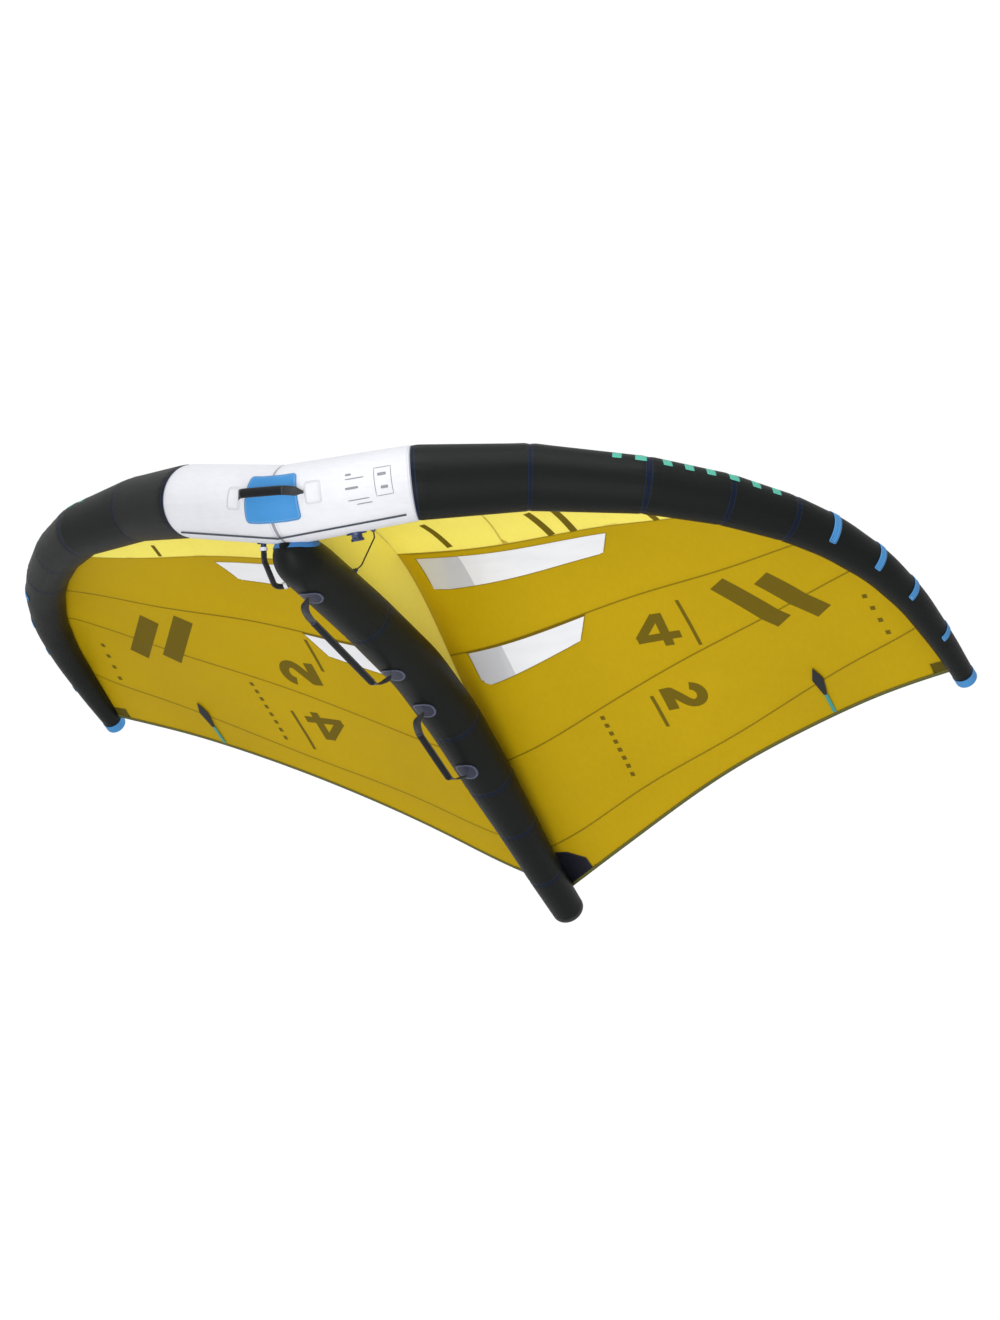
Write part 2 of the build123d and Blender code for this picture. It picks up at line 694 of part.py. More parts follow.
# ---------------------------------------------------------------- transfer hose and tether
hose_radius = 8.0
stub_length = 16.0
hose_span = 96.0
hose_edge_turn = 35.0  # degrees that the hose leaves the leading edge aft of straight down
hose_aft = 0.108 * root_chord  # where it joins the strut
hose_strut_turn = 22.0  # degrees below level at the strut
hose_foot_radius = 17.0
hose_leads = (32.0, 30.0)  # straight runs at the leading edge and at the strut
hose_bend = 20.0
clamp_length = 10.0
clamp_wall = 2.5
tether_radius = 2.0
tether_foot_radius = 9.0
tab_radius, tab_length = 5.0, 7.0
clip_radius, clip_length = 5.5, 9.0
tether_lead = 16.0
tether_bend = 8.0
stub_root = 4.0  # how far a fitting's flange reaches down to meet the curved cloth
tether_span = 216.0
tether_edge_turn = 50.0
tether_aft = 0.161 * root_chord
tether_strut_turn = -49.0


def edge_stub(x, turn, length):
    """Seat and end of a fitting that stands on the underside of the leading edge."""
    aft, up, radius = edge_at(abs(x))
    out = Vector(0, sin(radians(turn)), -cos(radians(turn)))
    seat = at(x, aft, up) + out * radius
    return seat, seat + out * length, out


def strut_stub(aft, hand, turn, length):
    """Seat and end of a fitting that stands on one side of the strut."""
    up, radius = strut_at(aft)
    out = Vector(hand * cos(radians(turn)), 0, -sin(radians(turn)))
    seat = at(0, aft, up) + out * radius
    return seat, seat + out * length, out


def stub(seat, out, foot_radius, post_radius, length):
    """Flange that follows the tube's skin, with a post standing on it."""
    with BuildPart() as fitting:
        with BuildSketch(Plane(origin=seat - out * stub_root, z_dir=out)):
            Circle(foot_radius)
        extrude(amount=stub_root + clear + patch)
        with BuildSketch(Plane(origin=seat, z_dir=out)):
            Circle(post_radius)
        extrude(amount=length)
        add(edge_keep_out, mode=Mode.SUBTRACT)
        add(strut_keep_out, mode=Mode.SUBTRACT)
    return fitting.part


hose_top, hose_start, hose_down = edge_stub(-hose_span, hose_edge_turn, stub_length)
hose_foot, hose_end, hose_side = strut_stub(hose_aft, -1, hose_strut_turn, stub_length)
with BuildPart() as hose_stubs:
    add(stub(hose_top, hose_down, hose_foot_radius, hose_radius, stub_length))
    add(stub(hose_foot, hose_side, hose_foot_radius, hose_radius, stub_length))
finish(hose_stubs.part, "hose_stubs")

hose_points = [
    hose_start,
    hose_start + hose_down * hose_leads[0],
    hose_end + hose_side * hose_leads[1],
    hose_end,
]
with BuildPart() as transfer_hose:
    with BuildLine():
        FilletPolyline(*hose_points, radius=hose_bend)
    with BuildSketch(Plane(origin=hose_start, z_dir=hose_down)):
        Circle(hose_radius)
    sweep()
finish(transfer_hose.part, "transfer_hose")

with BuildPart() as hose_clamps:
    for start, out in ((hose_start, hose_down), (hose_end, hose_side)):
        with BuildSketch(Plane(origin=start - out * clamp_length / 2, z_dir=out)):
            Circle(hose_radius + clamp_wall)
            Circle(hose_radius + clear, mode=Mode.SUBTRACT)
        extrude(amount=clamp_length)
finish(hose_clamps.part, "hose_clamps")

tether_top, tether_start, tether_down = edge_stub(tether_span, tether_edge_turn, tab_length)
tether_foot, tether_end, tether_side = strut_stub(tether_aft, 1, tether_strut_turn, clip_length)
with BuildPart() as tether_tab:
    add(stub(tether_top, tether_down, tether_foot_radius, tab_radius, tab_length))
finish(tether_tab.part, "tether_tab")
with BuildPart() as tether_clip:
    add(stub(tether_foot, tether_side, tether_foot_radius, clip_radius, clip_length))
finish(tether_clip.part, "tether_clip")
tether_points = [
    tether_start,
    tether_start + tether_down * tether_lead,
    tether_end + tether_side * tether_lead,
    tether_end,
]
with BuildPart() as valve_tether:
    with BuildLine():
        FilletPolyline(*tether_points, radius=tether_bend)
    with BuildSketch(Plane(origin=tether_start, z_dir=tether_down)):
        Circle(tether_radius)
    sweep()
finish(valve_tether.part, "valve_tether")
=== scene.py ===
# %% [markdown]
# # An inflatable hand-held wing
# This lesson dresses a finished engineering model of a small delta-shaped kite that a rider holds
# in both hands. The model gives the true sizes, the joints and every hard fitting. What it lacks
# is cloth: woven tubes that pucker at their seams, a canopy stretched like a sail, clear film
# windows, webbing and soft grips. Each step below makes one of those, and says why it is made
# that way. All lengths are in metres. +X is the right-hand wing tip, +Y runs aft, +Z is up.

# %% Load the fixed frame
from math import cos, pi, radians, sin, sqrt

import bpy
import numpy as np
from mathutils import Matrix, Vector


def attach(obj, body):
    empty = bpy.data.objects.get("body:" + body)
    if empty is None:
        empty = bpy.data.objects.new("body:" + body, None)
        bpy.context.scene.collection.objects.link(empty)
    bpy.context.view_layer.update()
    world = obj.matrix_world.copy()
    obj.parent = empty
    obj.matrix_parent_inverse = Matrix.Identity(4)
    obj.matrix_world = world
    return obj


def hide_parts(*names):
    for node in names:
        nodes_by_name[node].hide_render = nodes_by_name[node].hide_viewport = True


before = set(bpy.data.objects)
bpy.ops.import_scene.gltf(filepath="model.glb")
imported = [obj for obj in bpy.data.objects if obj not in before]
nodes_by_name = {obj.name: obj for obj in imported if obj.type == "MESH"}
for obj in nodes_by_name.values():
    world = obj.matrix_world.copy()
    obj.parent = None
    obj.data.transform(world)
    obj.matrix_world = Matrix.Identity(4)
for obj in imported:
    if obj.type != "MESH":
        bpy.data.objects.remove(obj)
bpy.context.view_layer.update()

# %% [markdown]
# ## Camera
# The camera comes first, so that every later piece can be judged in the view it will be seen in.
# A flying wing is looked at from below and in front. A long lens from well away keeps the two
# wing tips close to their true proportions. The three axes are the camera's own right, up and
# backward directions.

# %% Camera
camera_right = (0.8932, 0.3948, 0.2154)
camera_up = (0.0530, -0.5681, 0.8213)
camera_back = (0.4466, -0.7221, -0.5283)
camera_place = (5.3327, -7.2690, -5.8993)

bpy.ops.object.camera_add()
camera = bpy.context.object
camera.data.lens = 109.09
camera.data.sensor_width = 36.0
camera.data.clip_end = 200.0
columns = [camera_right, camera_up, camera_back, camera_place]
camera.matrix_world = Matrix([[column[row] for column in columns] for row in range(3)] + [[0, 0, 0, 1]])
bpy.context.scene.camera = camera
print("camera", [round(value, 2) for value in camera.location])

# %% [markdown]
# ## Overall dimensions
# A few numbers drive every curve of the wing: its span, how far the tips sweep back and rise,
# the chord at the middle, and how fat the air tubes are. They are the model's own, in metres, so
# what is made here lies where the engineering model lies.

# %% Dimensions
half_span, tip_sweep, tip_rise = 1.425, 1.417, 0.317
root_chord, root_camber = 1.985, 0.185
edge_tip_diameter, edge_root_diameter, strut_diameter = 0.060, 0.218, 0.160
handle_drop = radians(28)
axis_y = edge_root_diameter / 2 * cos(handle_drop)
axis_z = edge_root_diameter / 2 * sin(handle_drop)
cloth = 0.0012

# leading edge stations: shares of half span, sweep, rise, and of the root-to-tip diameter
edge_plan = [
    (0.000, 0.000, 0.000, 1.00),
    (0.246, 0.030, 0.240, 0.92),
    (0.432, 0.120, 0.525, 0.78),
    (0.628, 0.212, 0.670, 0.61),
    (0.748, 0.312, 0.803, 0.52),
    (0.838, 0.411, 0.898, 0.44),
    (0.897, 0.496, 0.948, 0.38),
    (0.949, 0.606, 0.981, 0.28),
    (0.979, 0.729, 1.000, 0.18),
    (0.994, 0.876, 1.000, 0.08),
    (1.000, 1.000, 1.000, 0.00),
]
# strut stations: share of the chord, height of the upper line, share of the strut's diameter
strut_plan = [
    (0.018, -0.090, 0.20),
    (0.026, -0.064, 0.53),
    (0.040, -0.041, 0.76),
    (0.062, -0.024, 0.90),
    (0.090, -0.005, 0.94),
    (0.253, 0.060, 0.97),
    (0.421, 0.113, 1.00),
    (0.550, 0.115, 1.00),
    (0.687, 0.084, 0.92),
    (0.796, 0.052, 0.79),
    (0.915, 0.015, 0.67),
    (1.008, -0.001, 0.62),
]
# ribs: share of half span, then the trailing edge's place as shares of chord and tip rise
rib_plan = [
    (0.000, 1.000, 0.012),
    (0.100, 0.950, 0.070),
    (0.232, 0.899, 0.250),
    (0.449, 0.817, 0.510),
    (0.667, 0.756, 0.740),
    (0.814, 0.721, 0.865),
    (0.912, 0.704, 0.940),
    (0.989, 0.697, 1.015),
]
rib_shape = [(0.22, 1.00), (0.50, 0.72), (0.78, 0.26)]
seam_plan = [
    [(0.00, 0.290), (0.45, 0.288), (0.60, 0.283), (0.76, 0.262)],
    [(0.00, 0.496), (0.32, 0.448), (0.60, 0.412), (0.86, 0.370)],
    [(0.00, 0.713), (0.25, 0.636), (0.50, 0.562), (0.67, 0.514), (0.93, 0.440)],
    [(0.00, 0.905), (0.30, 0.800), (0.52, 0.735), (0.75, 0.655), (1.00, 0.580)],
]
edge_rows = np.array(
    [
        (
            share * half_span,
            sweep * tip_sweep + axis_y,
            rise * tip_rise + axis_z,
            (edge_tip_diameter + fat * (edge_root_diameter - edge_tip_diameter)) / 2,
        )
        for share, sweep, rise, fat in edge_plan
    ]
)
strut_rows = np.array(
    [
        (0.0, chord * root_chord + axis_y, top - fat * strut_diameter / 2 + axis_z, fat * strut_diameter / 2)
        for chord, top, fat in strut_plan
    ]
)
print("leading edge stations", len(edge_rows), "strut stations", len(strut_rows))

# %% [markdown]
# ## Tubes as lines with a frame
# An inflated tube is a centreline with a radius. The stations are where its panels are sewn
# together, and there it turns by a few degrees. Real cloth rounds that turn, so the line between
# stations is averaged over a short window. At each place the tube also needs an upward and a
# sideways direction, square to its heading, to measure angles from: 0 is up, a quarter turn is
# forward on the leading edge and to the right on the strut.

# %% A tube's line
point_step = 0.003


def tube_line(rows, windows):
    """Dense centreline through stations, rounded over a window at each, with its frame."""
    start, end = 2 * rows[0] - rows[1], 2 * rows[-1] - rows[-2]
    longer = np.vstack([start, rows, end])
    steps = np.linalg.norm(np.diff(longer[:, :3], axis=0), axis=1)
    marks = np.concatenate([[0], np.cumsum(steps)]) - steps[0]
    along = np.linspace(0, marks[-2], 1 + int(marks[-2] / point_step))
    window = np.interp(along, marks[1:-1], windows)
    spots = along[:, None] + window[:, None] * np.linspace(-1, 1, 15)
    values = np.stack([np.interp(spots, marks, longer[:, k]).mean(axis=1) for k in range(4)], axis=1)
    heading = np.gradient(values[:, :3], along, axis=0)
    heading /= np.linalg.norm(heading, axis=1)[:, None]
    upward = np.array([0.0, 0.0, 1.0]) - heading * heading[:, 2:]
    upward /= np.linalg.norm(upward, axis=1)[:, None]
    side = np.cross(heading, upward)
    return {"along": along, "values": np.hstack([values, heading, upward, side]), "marks": marks[1:-1]}


def tube_point(line, along, angle, lift):
    """Points on a tube's skin, lifted off it, at distances along it and angles round it."""
    found = np.stack([np.interp(along, line["along"], line["values"][:, k]) for k in range(13)], axis=1)
    centre, radius, upward, side = found[:, :3], found[:, 3], found[:, 7:10], found[:, 10:13]
    reach = (radius + lift)[:, None]
    return centre + reach * (upward * np.cos(angle)[:, None] + side * np.sin(angle)[:, None])


def tube_radius(line, along):
    """Radius of a tube at distances along it."""
    return np.interp(along, line["along"], line["values"][:, 3])


mirrored_rows = edge_rows[:0:-1] * np.array([-1, 1, 1, 1])
half_windows = [0.020, 0.022, 0.022, 0.026, 0.032, 0.036, 0.045, 0.055, 0.060, 0.060, 0.020]
edge = tube_line(np.vstack([mirrored_rows, edge_rows]), half_windows[:0:-1] + half_windows)
strut_windows = [0.004, 0.010, 0.016, 0.022, 0.030, 0.035, 0.050, 0.050, 0.040, 0.040, 0.040, 0.010]
strut = tube_line(strut_rows, strut_windows)
middle = len(edge_rows) - 1
edge_middle = edge["marks"][middle]
print("leading edge length", round(edge["marks"][-1], 3), "strut length", round(strut["marks"][-1], 3))

# %% [markdown]
# ## One helper for all cloth
# Every cloth piece starts as Blender's grid, a flat sheet of squares, which a tailor would call
# the cut. Its points are then laid where the cloth goes. Two things are stored with it: a UV map
# in metres, so that the weave keeps its true size however the cloth curves, and the distance to
# the nearest seam, so that the material can sew stitches there.

# %% Lay a grid of cloth
def store(piece, uv, seam):
    """Keep each point's place on the cut, in metres, and its distance to the nearest seam."""
    mesh = piece.data
    corners = np.zeros(len(mesh.loops), dtype=int)
    mesh.loops.foreach_get("vertex_index", corners)
    layer = mesh.uv_layers[0] if mesh.uv_layers else mesh.uv_layers.new(name="UVMap")
    layer.data.foreach_set("uv", uv[corners].astype(np.float32).ravel())
    distance = mesh.attributes.get("seam") or mesh.attributes.new("seam", "FLOAT", "POINT")
    distance.data.foreach_set("value", seam.astype(np.float32))


def read_points(piece):
    """All points of a mesh as rows of x, y and z."""
    flat = np.zeros(3 * len(piece.data.vertices))
    piece.data.vertices.foreach_get("co", flat)
    return flat.reshape(-1, 3)


def write_points(piece, points):
    piece.data.vertices.foreach_set("co", points.ravel())
    piece.data.update()


def only(piece):
    """Select one piece and nothing else, because an operator acts on all that is selected."""
    bpy.ops.object.select_all(action="DESELECT")
    piece.select_set(True)
    bpy.context.view_layer.objects.active = piece


def merge(piece):
    """Weld the points where a wrapped grid meets itself."""
    only(piece)
    bpy.ops.object.mode_set(mode="EDIT")
    bpy.ops.mesh.select_all(action="SELECT")
    bpy.ops.mesh.remove_doubles(threshold=0.00002)
    bpy.ops.object.mode_set(mode="OBJECT")


def close_ends(piece):
    """Fill the open ends of a tube."""
    only(piece)
    bpy.ops.object.mode_set(mode="EDIT")
    bpy.ops.mesh.select_all(action="SELECT")
    bpy.ops.mesh.region_to_loop()
    bpy.ops.mesh.fill_holes(sides=0)
    bpy.ops.object.mode_set(mode="OBJECT")


def join_pieces(pieces, name):
    """Make one piece of several."""
    bpy.ops.object.select_all(action="DESELECT")
    for piece in pieces:
        piece.select_set(True)
    bpy.context.view_layer.objects.active = pieces[0]
    bpy.ops.object.join()
    pieces[0].name = pieces[0].data.name = name
    return pieces[0]


def lay_cloth(name, across, down, place, closed=False):
    """Grid of squares laid by place(u, v), which returns points, UV in metres and seam distance."""
    bpy.ops.object.select_all(action="DESELECT")
    bpy.ops.mesh.primitive_grid_add(x_subdivisions=across, y_subdivisions=down, size=2)
    piece = bpy.context.object
    piece.name = piece.data.name = name
    flat = read_points(piece)
    points, uv, seam = place((flat[:, 0] + 1) / 2, (flat[:, 1] + 1) / 2)
    write_points(piece, points)
    store(piece, uv, seam)
    if closed:
        merge(piece)
    only(piece)
    bpy.ops.object.shade_smooth()
    return piece


def thicken(piece, thickness, offset):
    """Give a sheet its thickness, outwards for an offset of 1 and centred for 0."""
    only(piece)
    wall = piece.modifiers.new("wall", "SOLIDIFY")
    wall.thickness = thickness
    wall.offset = offset
    bpy.ops.object.modifier_apply(modifier="wall")


def finish_piece(piece, material, slot, body, *replaced):
    """Material, library slot (not used), the body it moves with, and the model's solids it stands for."""
    piece.data.materials.clear()
    piece.data.materials.append(material)
    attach(piece, body)
    if replaced:
        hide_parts(*replaced)
    print(piece.name, "faces", len(piece.data.polygons))


# %% [markdown]
# ## Node helpers
# A material here is a small chain of nodes. These helpers add one node each and join it up, so
# the chains below read in the order in which the real finish is built: thread, weave, colour,
# seams.

# %% Node helpers
def new_material(name, roughness):
    """A material and its shader."""
    material = bpy.data.materials.new(name)
    material.use_nodes = True
    shader = material.node_tree.nodes["Principled BSDF"]
    shader.inputs["Roughness"].default_value = roughness
    return material, shader


def join(material, source, target):
    material.node_tree.links.new(source, target)


def calculate(material, operation, first, second=0.0, third=0.0, clamp=False):
    """A Math node, fed with sockets or numbers."""
    node = material.node_tree.nodes.new("ShaderNodeMath")
    node.operation = operation
    node.use_clamp = clamp
    for socket, value in zip(node.inputs, (first, second, third)):
        if isinstance(value, (int, float)):
            socket.default_value = value
        else:
            join(material, value, socket)
    return node.outputs[0]


def coordinates(material, kind="UV"):
    """The piece's own UV map, or its Object coordinates."""
    node = material.node_tree.nodes.new("ShaderNodeTexCoord")
    return node.outputs[kind]


def split(material, vector):
    node = material.node_tree.nodes.new("ShaderNodeSeparateXYZ")
    join(material, vector, node.inputs[0])
    return node.outputs


def noise(material, vector, scale, detail=2.0, stretch=(1, 1, 1)):
    """Cloudy noise, stretched along the axes if need be."""
    mapping = material.node_tree.nodes.new("ShaderNodeMapping")
    mapping.inputs["Scale"].default_value = stretch
    node = material.node_tree.nodes.new("ShaderNodeTexNoise")
    node.inputs["Scale"].default_value = scale
    node.inputs["Detail"].default_value = detail
    join(material, vector, mapping.inputs["Vector"])
    join(material, mapping.outputs[0], node.inputs["Vector"])
    return node.outputs[0]


def blend_colours(material, factor, first, second):
    """Mix two colours, each a tuple or a socket."""
    node = material.node_tree.nodes.new("ShaderNodeMix")
    node.data_type = "RGBA"
    for socket, value in ((node.inputs[6], first), (node.inputs[7], second)):
        if isinstance(value, tuple):
            socket.default_value = (*value, 1.0)
        else:
            join(material, value, socket)
    join(material, factor, node.inputs[0])
    return node.outputs[2]


def add_bump(material, shader, height, distance, strength=1.0):
    node = material.node_tree.nodes.new("ShaderNodeBump")
    node.inputs["Distance"].default_value = distance
    node.inputs["Strength"].default_value = strength
    join(material, height, node.inputs["Height"])
    join(material, node.outputs[0], shader.inputs["Normal"])


def shade(red, green, blue):
    """A colour as a screen shows it, turned into the linear values that Blender works in."""
    shares = [value / 255 for value in (red, green, blue)]
    return tuple(((v + 0.055) / 1.055) ** 2.4 if v > 0.04 else v / 12.92 for v in shares)


def scaled(colour, share, more=0.0):
    """A colour made darker or lighter, no brighter than full."""
    return tuple(min(1.0, share * value + more) for value in colour)


def wave_along(material, kind, direction, pitch):
    """A sine or cosine wave of a given pitch, in metres, along one direction."""
    return calculate(material, kind, calculate(material, "MULTIPLY", direction, 2 * pi / pitch))


# %% [markdown]
# ## Sewn cloth
# All the cloths on this wing are plain weaves with a heavier thread every few millimetres, which
# stops a tear. What differs is the colour, the sheen of the coating and the thread of the seams.
# One recipe makes them all. The weave is two sine waves, one each way across the cut, so it is
# the right size in metres. Two noises make the cloth uneven: a broad one for how it has faded
# and creased, a fine one for its slubs. Near a seam the fold is filled with the seam's own dark
# colour and painted shade, the cloth beside it is darkened with painted shade, a line of thread
# shows on each side, and small puckers run away from it.

# %% Recipe for sewn cloth
thread_pitch, stitch_pitch = 0.0011, 0.0045
stitch_width, seam_reach = 0.0007, 0.030


def sewn_cloth(
    name, colour, seam_and_shade_colour, thread_colour, roughness, stop=0.006, fold=0.0022, wear=0.10, sheen=0.0, shine=0.3
):
    """Woven cloth: pitch of the stop threads, half width of a seam's fold, and how its threads show."""
    material, shader = new_material(name, roughness)
    shader.inputs["Specular IOR Level"].default_value = shine
    cut = coordinates(material)
    u, v, _ = split(material, cut)
    weave = calculate(material, "MULTIPLY", *[wave_along(material, "SINE", way, thread_pitch) for way in (u, v)])
    stops = [wave_along(material, "COSINE", way, stop) for way in (u, v)]
    stops = [calculate(material, "GREATER_THAN", wave, 0.93) for wave in stops]
    ripstop = calculate(material, "MAXIMUM", *stops)
    broad = noise(material, cut, 2.3, 3.0)
    fine = noise(material, cut, 90.0, 3.0, (1.0, 0.35, 1.0))
    # colour: broad unevenness, slubs, then the heavier threads
    darker = scaled(colour, 0.80)
    uneven = calculate(material, "MULTIPLY_ADD", broad, 0.7, calculate(material, "MULTIPLY", fine, 0.3))
    base = blend_colours(material, uneven, darker, scaled(colour, 1.12, 0.002))
    threads = calculate(material, "MULTIPLY", ripstop, wear)
    base = blend_colours(material, threads, base, scaled(colour, 0.55))
    # seam: a fold, filled with the seam's dark colour and painted shade, with a row of stitches along each side
    node = material.node_tree.nodes.new("ShaderNodeAttribute")
    node.attribute_name = "seam"
    distance = node.outputs["Fac"]
    in_fold = calculate(material, "LESS_THAN", distance, fold)
    off_line = calculate(material, "ABSOLUTE", calculate(material, "SUBTRACT", distance, 2.2 * fold))
    on_line = calculate(material, "LESS_THAN", off_line, stitch_width)
    dashes = wave_along(material, "SINE", calculate(material, "ADD", u, v), stitch_pitch)
    stitch = calculate(material, "MULTIPLY", on_line, calculate(material, "GREATER_THAN", dashes, -0.35))
    near = calculate(material, "SUBTRACT", 1.0, calculate(material, "DIVIDE", distance, seam_reach), clamp=True)
    # painted shade: the cloth darkens towards each seam, over the seam's reach
    base = blend_colours(material, calculate(material, "MULTIPLY", near, 0.16), base, darker)
    base = blend_colours(material, in_fold, base, seam_and_shade_colour)
    base = blend_colours(material, stitch, base, thread_colour)
    join(material, base, shader.inputs["Base Color"])
    # relief: weave, heavier threads, stitches, and puckers that die away from the seam
    puckers = noise(material, cut, 38.0, 2.0)
    pucker = calculate(material, "MULTIPLY", calculate(material, "MULTIPLY", near, near), puckers)
    relief = calculate(material, "MULTIPLY_ADD", weave, 0.05, calculate(material, "MULTIPLY", ripstop, 0.10))
    relief = calculate(material, "MULTIPLY_ADD", pucker, 2.4, relief)
    relief = calculate(material, "MULTIPLY_ADD", stitch, 0.45, relief)
    relief = calculate(material, "MULTIPLY_ADD", in_fold, -0.5, relief)
    add_bump(material, shader, relief, 0.0011)
    # coating: a little smoother where the cloth is drawn tight
    gloss = calculate(material, "MULTIPLY_ADD", broad, 0.16, roughness - 0.08)
    join(material, gloss, shader.inputs["Roughness"])
    shader.inputs["Sheen Weight"].default_value = sheen
    return material


# %% [markdown]
# ## The leading edge
# The leading edge is one long air tube, sewn from panels: a white one in the middle that the
# front handle sits on, and black ones out to the tips. Its casing is a tough woven polyester,
# which barely stretches, so each panel swells a little between its seams and the seams sink in
# with small puckers. A grid is wrapped into a tube along the line made above, with rows of
# points exactly on each seam. The panels are three pieces, because the real ones are cut from
# two cloths.

# %% Seams and puckers
half_seams = [edge["marks"][middle + k] - edge_middle for k in (1, 2, 3, 4, 5)]
edge_seams = [edge_middle + sign * mark for mark in half_seams for sign in (-1, 1)]
strut_seams = [strut["marks"][k] for k in (5, 7, 8, 9, 10)]
seam_depth, seam_half_width = 0.0016, 0.007
pucker_from, pucker_to = 0.006, 0.030
row_step = 0.011


def rows_on_seams(start, end, seams):
    """Distances from start to end, about a step apart, with one exactly on every seam."""
    near_end = 0.004
    stops = sorted([start, end] + [s for s in seams if start + near_end < s < end - near_end])
    rows = [start]
    for low, high in zip(stops, stops[1:]):
        count = max(2, int(round((high - low) / row_step)))
        shares = (1 - np.cos(np.linspace(0, pi, count + 1))) / 2
        # half crowded towards the seams, half even
        shares = 0.5 * shares + 0.5 * np.linspace(0, 1, count + 1)
        rows.extend(low + (high - low) * shares[1:])
    return np.array(rows)


def swell(along, angle, seams, size):
    """How far tight cloth stands off its line: sunk at a seam, swollen and puckered beside it."""
    lift = np.zeros_like(along)
    for number, seam in enumerate(seams):
        away = along - seam
        lift -= seam_depth * np.exp(-((away / seam_half_width) ** 2))
        ripple = np.sin(23 * angle + 1.7 * number) * 0.6 + np.sin(37 * angle + 2.9 * number) * 0.4
        beside = np.exp(-((away / pucker_to) ** 2)) * (1 - np.exp(-((away / pucker_from) ** 2)))
        lift += size * ripple * beside
    return lift


def wrap_tube(name, line, start, end, seams, around, pucker):
    """Closed tube of cloth along a line, from start to end."""
    rows = rows_on_seams(start, end, seams)

    def place(u, v):
        along = rows[np.round(v * (len(rows) - 1)).astype(int)]
        angle = 2 * pi * u
        radius = tube_radius(line, along)
        near = np.min([np.abs(along - seam) for seam in seams], axis=0)
        points = tube_point(line, along, angle, swell(along, angle, seams, pucker))
        return points, np.stack([angle * radius, along], axis=1), near

    return lay_cloth(name, around, len(rows) - 1, place, closed=True)


# %% [markdown]
# ## Two cloths for the tubes
# The middle of the leading edge is white, and the rest of the edge and the strut are black. Both
# are the same tough sailcloth, so one recipe serves for both, with its own colours, wear and
# shine. The black one shows its stop threads more, and its seams are bluish.

# %% Cloths of the leading edge
white_cloth = sewn_cloth(
    "white_sailcloth",
    colour=shade(228, 229, 234),
    seam_and_shade_colour=shade(150, 152, 162),
    thread_colour=shade(206, 208, 216),
    roughness=0.5,
    wear=0.05,
    shine=0.15,
)
black_cloth = sewn_cloth(
    "black_sailcloth",
    colour=shade(17, 21, 19),
    seam_and_shade_colour=shade(8, 22, 50),
    thread_colour=shade(30, 52, 88),
    roughness=0.40,
    fold=0.0030,
    wear=0.25,
    shine=0.13,
)
print("cloths of the tubes", white_cloth.name, black_cloth.name)

# %% [markdown]
# ## Three lengths of casing
# The casing changes from white to black at a seam on each side of the middle. The tube could be
# one mesh with two materials, but the two cloths are cut apart on the real wing, so each length
# is wrapped as its own piece, between the marks where the cloth changes.

# %% Wrap the three lengths of casing
edge_end = edge["marks"][-1]
white_from, white_to = edge["marks"][middle - 1], edge["marks"][middle + 1]
lengths = [
    ("leading_edge_left", 0.0, white_from, black_cloth, "black_tube_cloth", ["edge_casing_left"]),
    (
        "leading_edge_centre",
        white_from,
        white_to,
        white_cloth,
        "white_cloth",
        ["edge_casing_centre", "edge_bladder"],
    ),
    ("leading_edge_right", white_to, edge_end, black_cloth, "black_tube_cloth", ["edge_casing_right"]),
]
for name, start, end, material, slot, stands_for in lengths:
    seams = edge_seams if "centre" not in name else edge_seams + [edge_middle]
    piece = wrap_tube(name, edge, start, end, seams, around=96, pucker=0.0009)
    finish_piece(piece, material, slot, "wing", *stands_for)

# %% [markdown]
# ## The strut
# The second air tube runs down the middle and is what the rear hands hang from. It is made just
# like the leading edge. Its front end is rounded off under the leading edge, where a hose feeds
# it with air.

# %% Wrap the strut
strut_piece = wrap_tube("strut", strut, 0.0, strut["marks"][-1], strut_seams, around=88, pucker=0.0010)
close_ends(strut_piece)
finish_piece(strut_piece, black_cloth, "black_tube_cloth", "wing", "strut_casing", "strut_bladder")

# %% [markdown]
# ## The shape of the canopy
# The canopy is a sail held along its front by the leading edge and along its middle by a web on
# the strut. Its shape is a family of ribs, each a smooth line from the tube to the trailing edge
# with most of its curve near the front. A natural cubic spline is the line that a thin batten
# takes when it is bent through a few points, so it suits cloth under tension. One spline runs
# along each rib, and others carry the ribs' points across the span.

# %% Height of the canopy at any place in plan
def spline_bends(knots, values):
    """Second derivatives of a natural cubic spline, for rows of knots and values."""
    gaps = np.diff(knots, axis=1)
    rises = np.diff(values, axis=1) / gaps
    count = knots.shape[1] - 2
    matrix = np.zeros((len(knots), count, count))
    for k in range(count):
        matrix[:, k, k] = 2 * (gaps[:, k] + gaps[:, k + 1])
        if k + 1 < count:
            matrix[:, k, k + 1] = matrix[:, k + 1, k] = gaps[:, k + 1]
    inner = np.linalg.solve(matrix, 6 * np.diff(rises, axis=1)[..., None])[..., 0]
    bends = np.zeros_like(knots)
    bends[:, 1:-1] = inner
    return bends


def spline_at(knots, values, bends, where):
    """Value of each row's spline at one place per row."""
    last = knots.shape[1] - 2
    k = np.clip((where[:, None] > knots[:, 1:-1]).sum(axis=1), 0, last)
    row = np.arange(len(knots))
    left, right = knots[row, k], knots[row, k + 1]
    gap = right - left
    a, b = (right - where) / gap, (where - left) / gap
    curve = ((a**3 - a) * bends[row, k] + (b**3 - b) * bends[row, k + 1]) * gap**2 / 6
    return a * values[row, k] + b * values[row, k + 1] + curve


half_way_round = sqrt(0.5)


